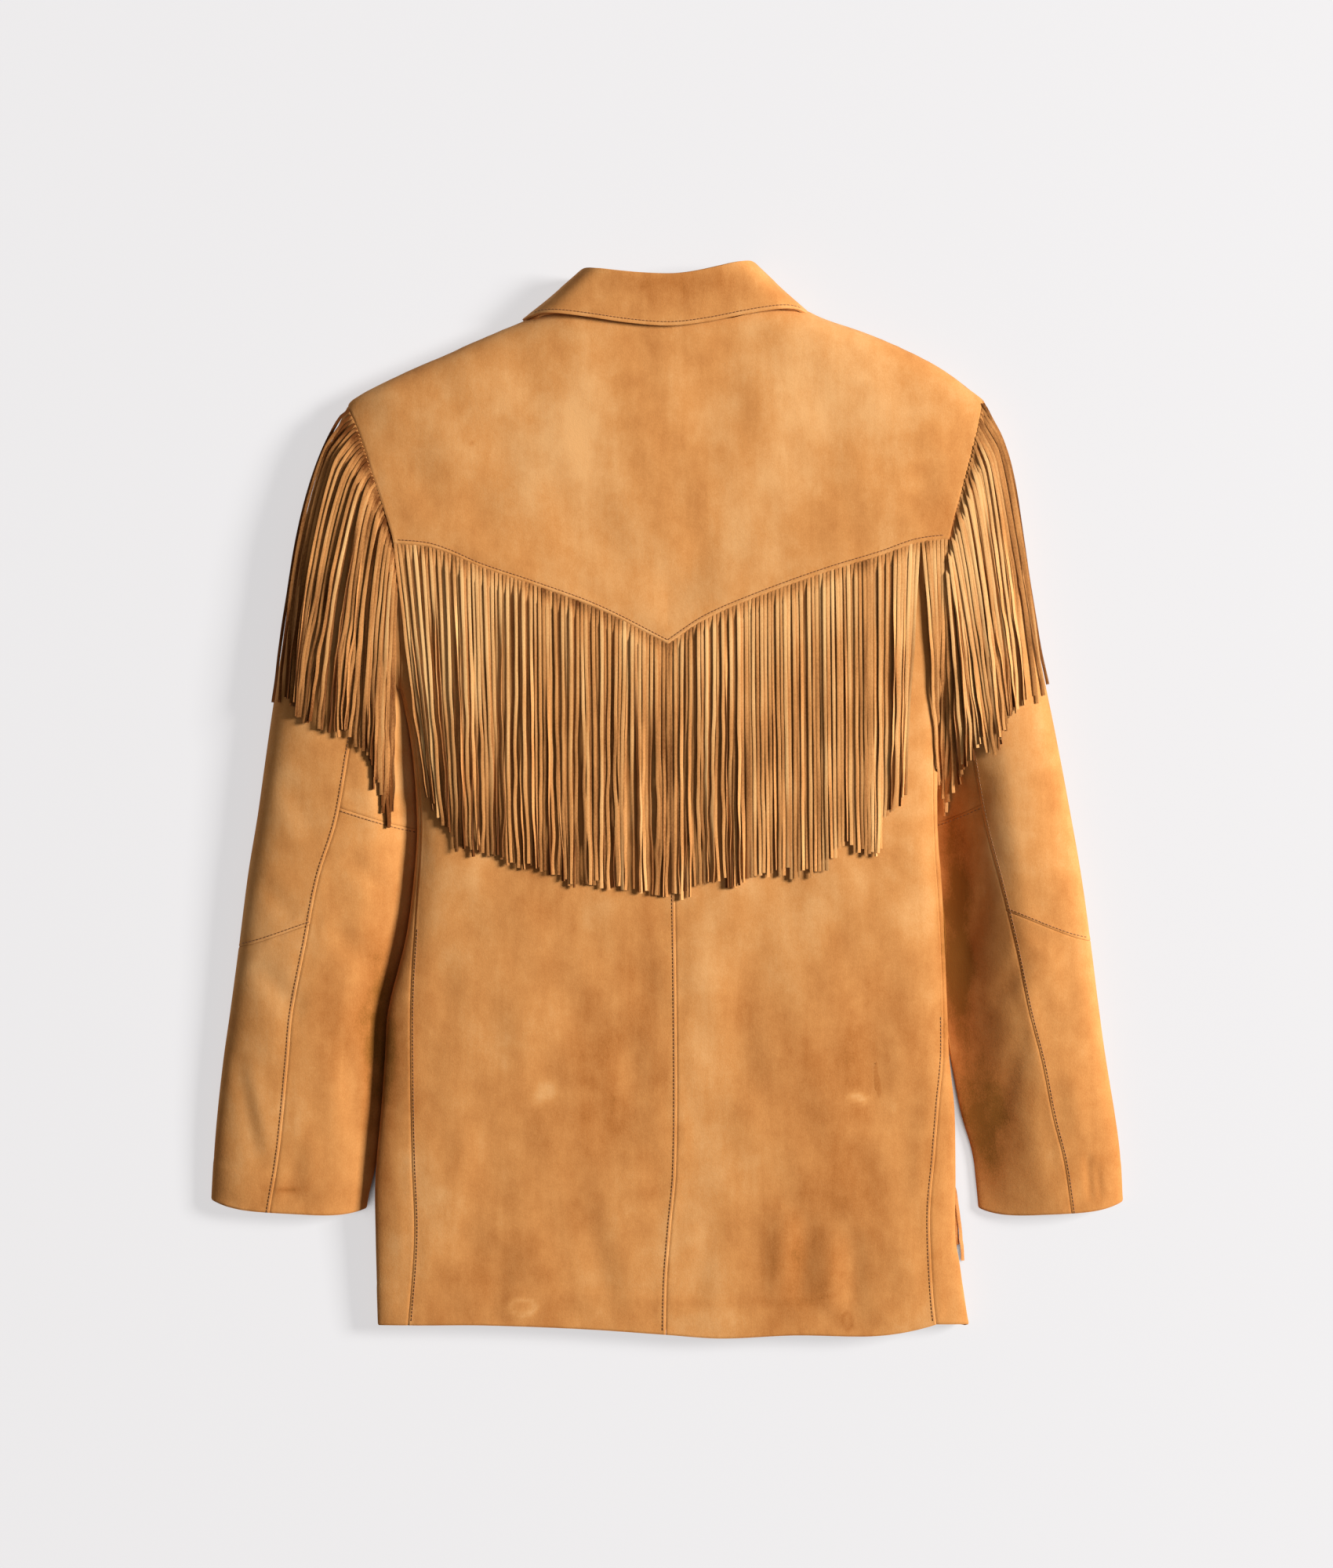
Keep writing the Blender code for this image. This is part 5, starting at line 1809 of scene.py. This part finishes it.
@dataclass(frozen=True)
class Studio:
    """A pale floor that glows by itself, with shade painted by ambient occlusion near the jacket,
    soft light from the upper right, and a camera straight above.
    """

    view_height: float = 1.160
    distance: float = 6.0
    top: float = 0.03
    centre: tuple[float, float] = (-0.0006, 0.0122)
    sensor: float = 36.0
    glow: float = 0.64
    floor_depth: float = 0.0004

    def build(self) -> None:
        """Makes the floor, lights and camera."""
        self.floor()
        self.lamp("key", place=(8.2, 1.8, 5.3), size=2.8, power=1830.0)
        self.lamp("fill", place=(1.0, 0.3, 6.0), size=3.0, power=24.0)
        world = bpy.data.worlds.new("studio")
        bpy.context.scene.world = world
        world.use_nodes = True
        backdrop = world.node_tree.nodes["Background"]
        backdrop.inputs["Color"].default_value = (1.0, 0.95, 0.88, 1.0)
        backdrop.inputs["Strength"].default_value = 0.1
        bpy.context.scene.view_settings.view_transform = "Standard"
        bpy.context.scene.view_settings.look = "None"
        self.camera()

    def floor(self) -> None:
        """Makes the pale floor: it glows by itself, and the glow fades by ambient occlusion, which
        paints shade near the jacket and in the slits between its parts.
        """
        bpy.ops.object.select_all(action="DESELECT")
        bpy.ops.mesh.primitive_plane_add(size=8.0, location=(0.0, 0.0, -self.floor_depth))
        floor = bpy.context.active_object
        floor.name = "floor"
        bpy.ops.object.transform_apply(location=True, rotation=True, scale=True)
        material = bpy.data.materials.new("floor_paper")
        material.use_nodes = True
        nodes = material.node_tree.nodes
        shader = nodes["Principled BSDF"]
        shader.inputs["Base Color"].default_value = (0.20, 0.197, 0.198, 1.0)
        shader.inputs["Emission Color"].default_value = (1.0, 0.982, 0.991, 1.0)
        # painted shade: the floor's glow fades where ambient occlusion finds the jacket close
        nearness = nodes.new("ShaderNodeAmbientOcclusion")
        nearness.inputs["Distance"].default_value = 0.07
        glow = nodes.new("ShaderNodeMapRange")
        glow.interpolation_type = "SMOOTHSTEP"
        glow.inputs["From Min"].default_value = 0.08
        glow.inputs["From Max"].default_value = 0.5
        glow.inputs["To Max"].default_value = self.glow
        material.node_tree.links.new(nearness.outputs["AO"], glow.inputs["Value"])
        material.node_tree.links.new(glow.outputs[0], shader.inputs["Emission Strength"])
        shader.inputs["Roughness"].default_value = 0.9
        shader.inputs["Specular IOR Level"].default_value = 0.1
        floor.data.materials.append(material)

    def lamp(self, name: str, place: tuple[float, float, float], size: float,
             power: float) -> None:
        """Adds a square soft light that faces the jacket.

        Args:
            name: its name.
            place: where it hangs, in metres.
            size: the length of its side.
            power: its power in watts.
        """
        light = bpy.data.lights.new(name, "AREA")
        light.size = size
        light.energy = power
        item = bpy.data.objects.new(name, light)
        item.location = place
        item.rotation_euler = (-Vector(place)).to_track_quat("-Z", "Y").to_euler()
        bpy.context.scene.collection.objects.link(item)

    def camera(self) -> None:
        """Hangs the camera straight above."""
        data = bpy.data.cameras.new("camera")
        data.sensor_width = self.sensor
        data.lens = self.sensor * (self.distance - self.top) / self.view_height
        data.clip_end = 50.0
        item = bpy.data.objects.new("camera", data)
        item.location = (self.centre[0], self.centre[1], self.distance)
        bpy.context.scene.collection.objects.link(item)
        bpy.context.scene.camera = item


def main() -> None:
    """Builds the jacket piece by piece, then the studio round it."""
    logging.basicConfig(level=logging.INFO, format="%(message)s")
    shop = Workshop(
        # The suede's deep stop is reached mostly where painted shade darkens the sleeves' inner
        # sides.
        suede=SuedeFinish(
            "suede", deep=(0.25, 0.09, 0.012), dark=(0.45, 0.160, 0.036),
            middle=(0.61, 0.260, 0.074), light=(0.73, 0.375, 0.140), cloud_size=0.075,
            nap_depth=0.00022, streak=0.18, blotch=0.5).material(),
        # The fringe's deep and dark stops are near black: the painted shade on the strands' lower
        # corners falls on them.
        fringe=SuedeFinish(
            "fringe_suede", deep=(0.10, 0.028, 0.004), dark=(0.15, 0.042, 0.007),
            middle=(0.61, 0.262, 0.078), light=(0.86, 0.49, 0.19), cloud_size=0.2,
            nap_depth=0.0002, streak=0.14, blotch=0.12).material(),
        thread=ThreadFinish("thread", (0.34, 0.135, 0.038)).material())
    BackPanels(shop).build()
    Fronts(shop).build()
    sleeves = [Sleeve(shop, "left", SLEEVE_LEFT, ARMHOLE_LEFT),
               Sleeve(shop, "right", SLEEVE_RIGHT, ARMHOLE_RIGHT)]
    for sleeve in sleeves:
        sleeve.build()
    collar = Collar(shop)
    collar.build()
    sew(shop, sleeves, collar)
    Fringes(shop).build()
    Studio().build()


if __name__ == "__main__":
    main()
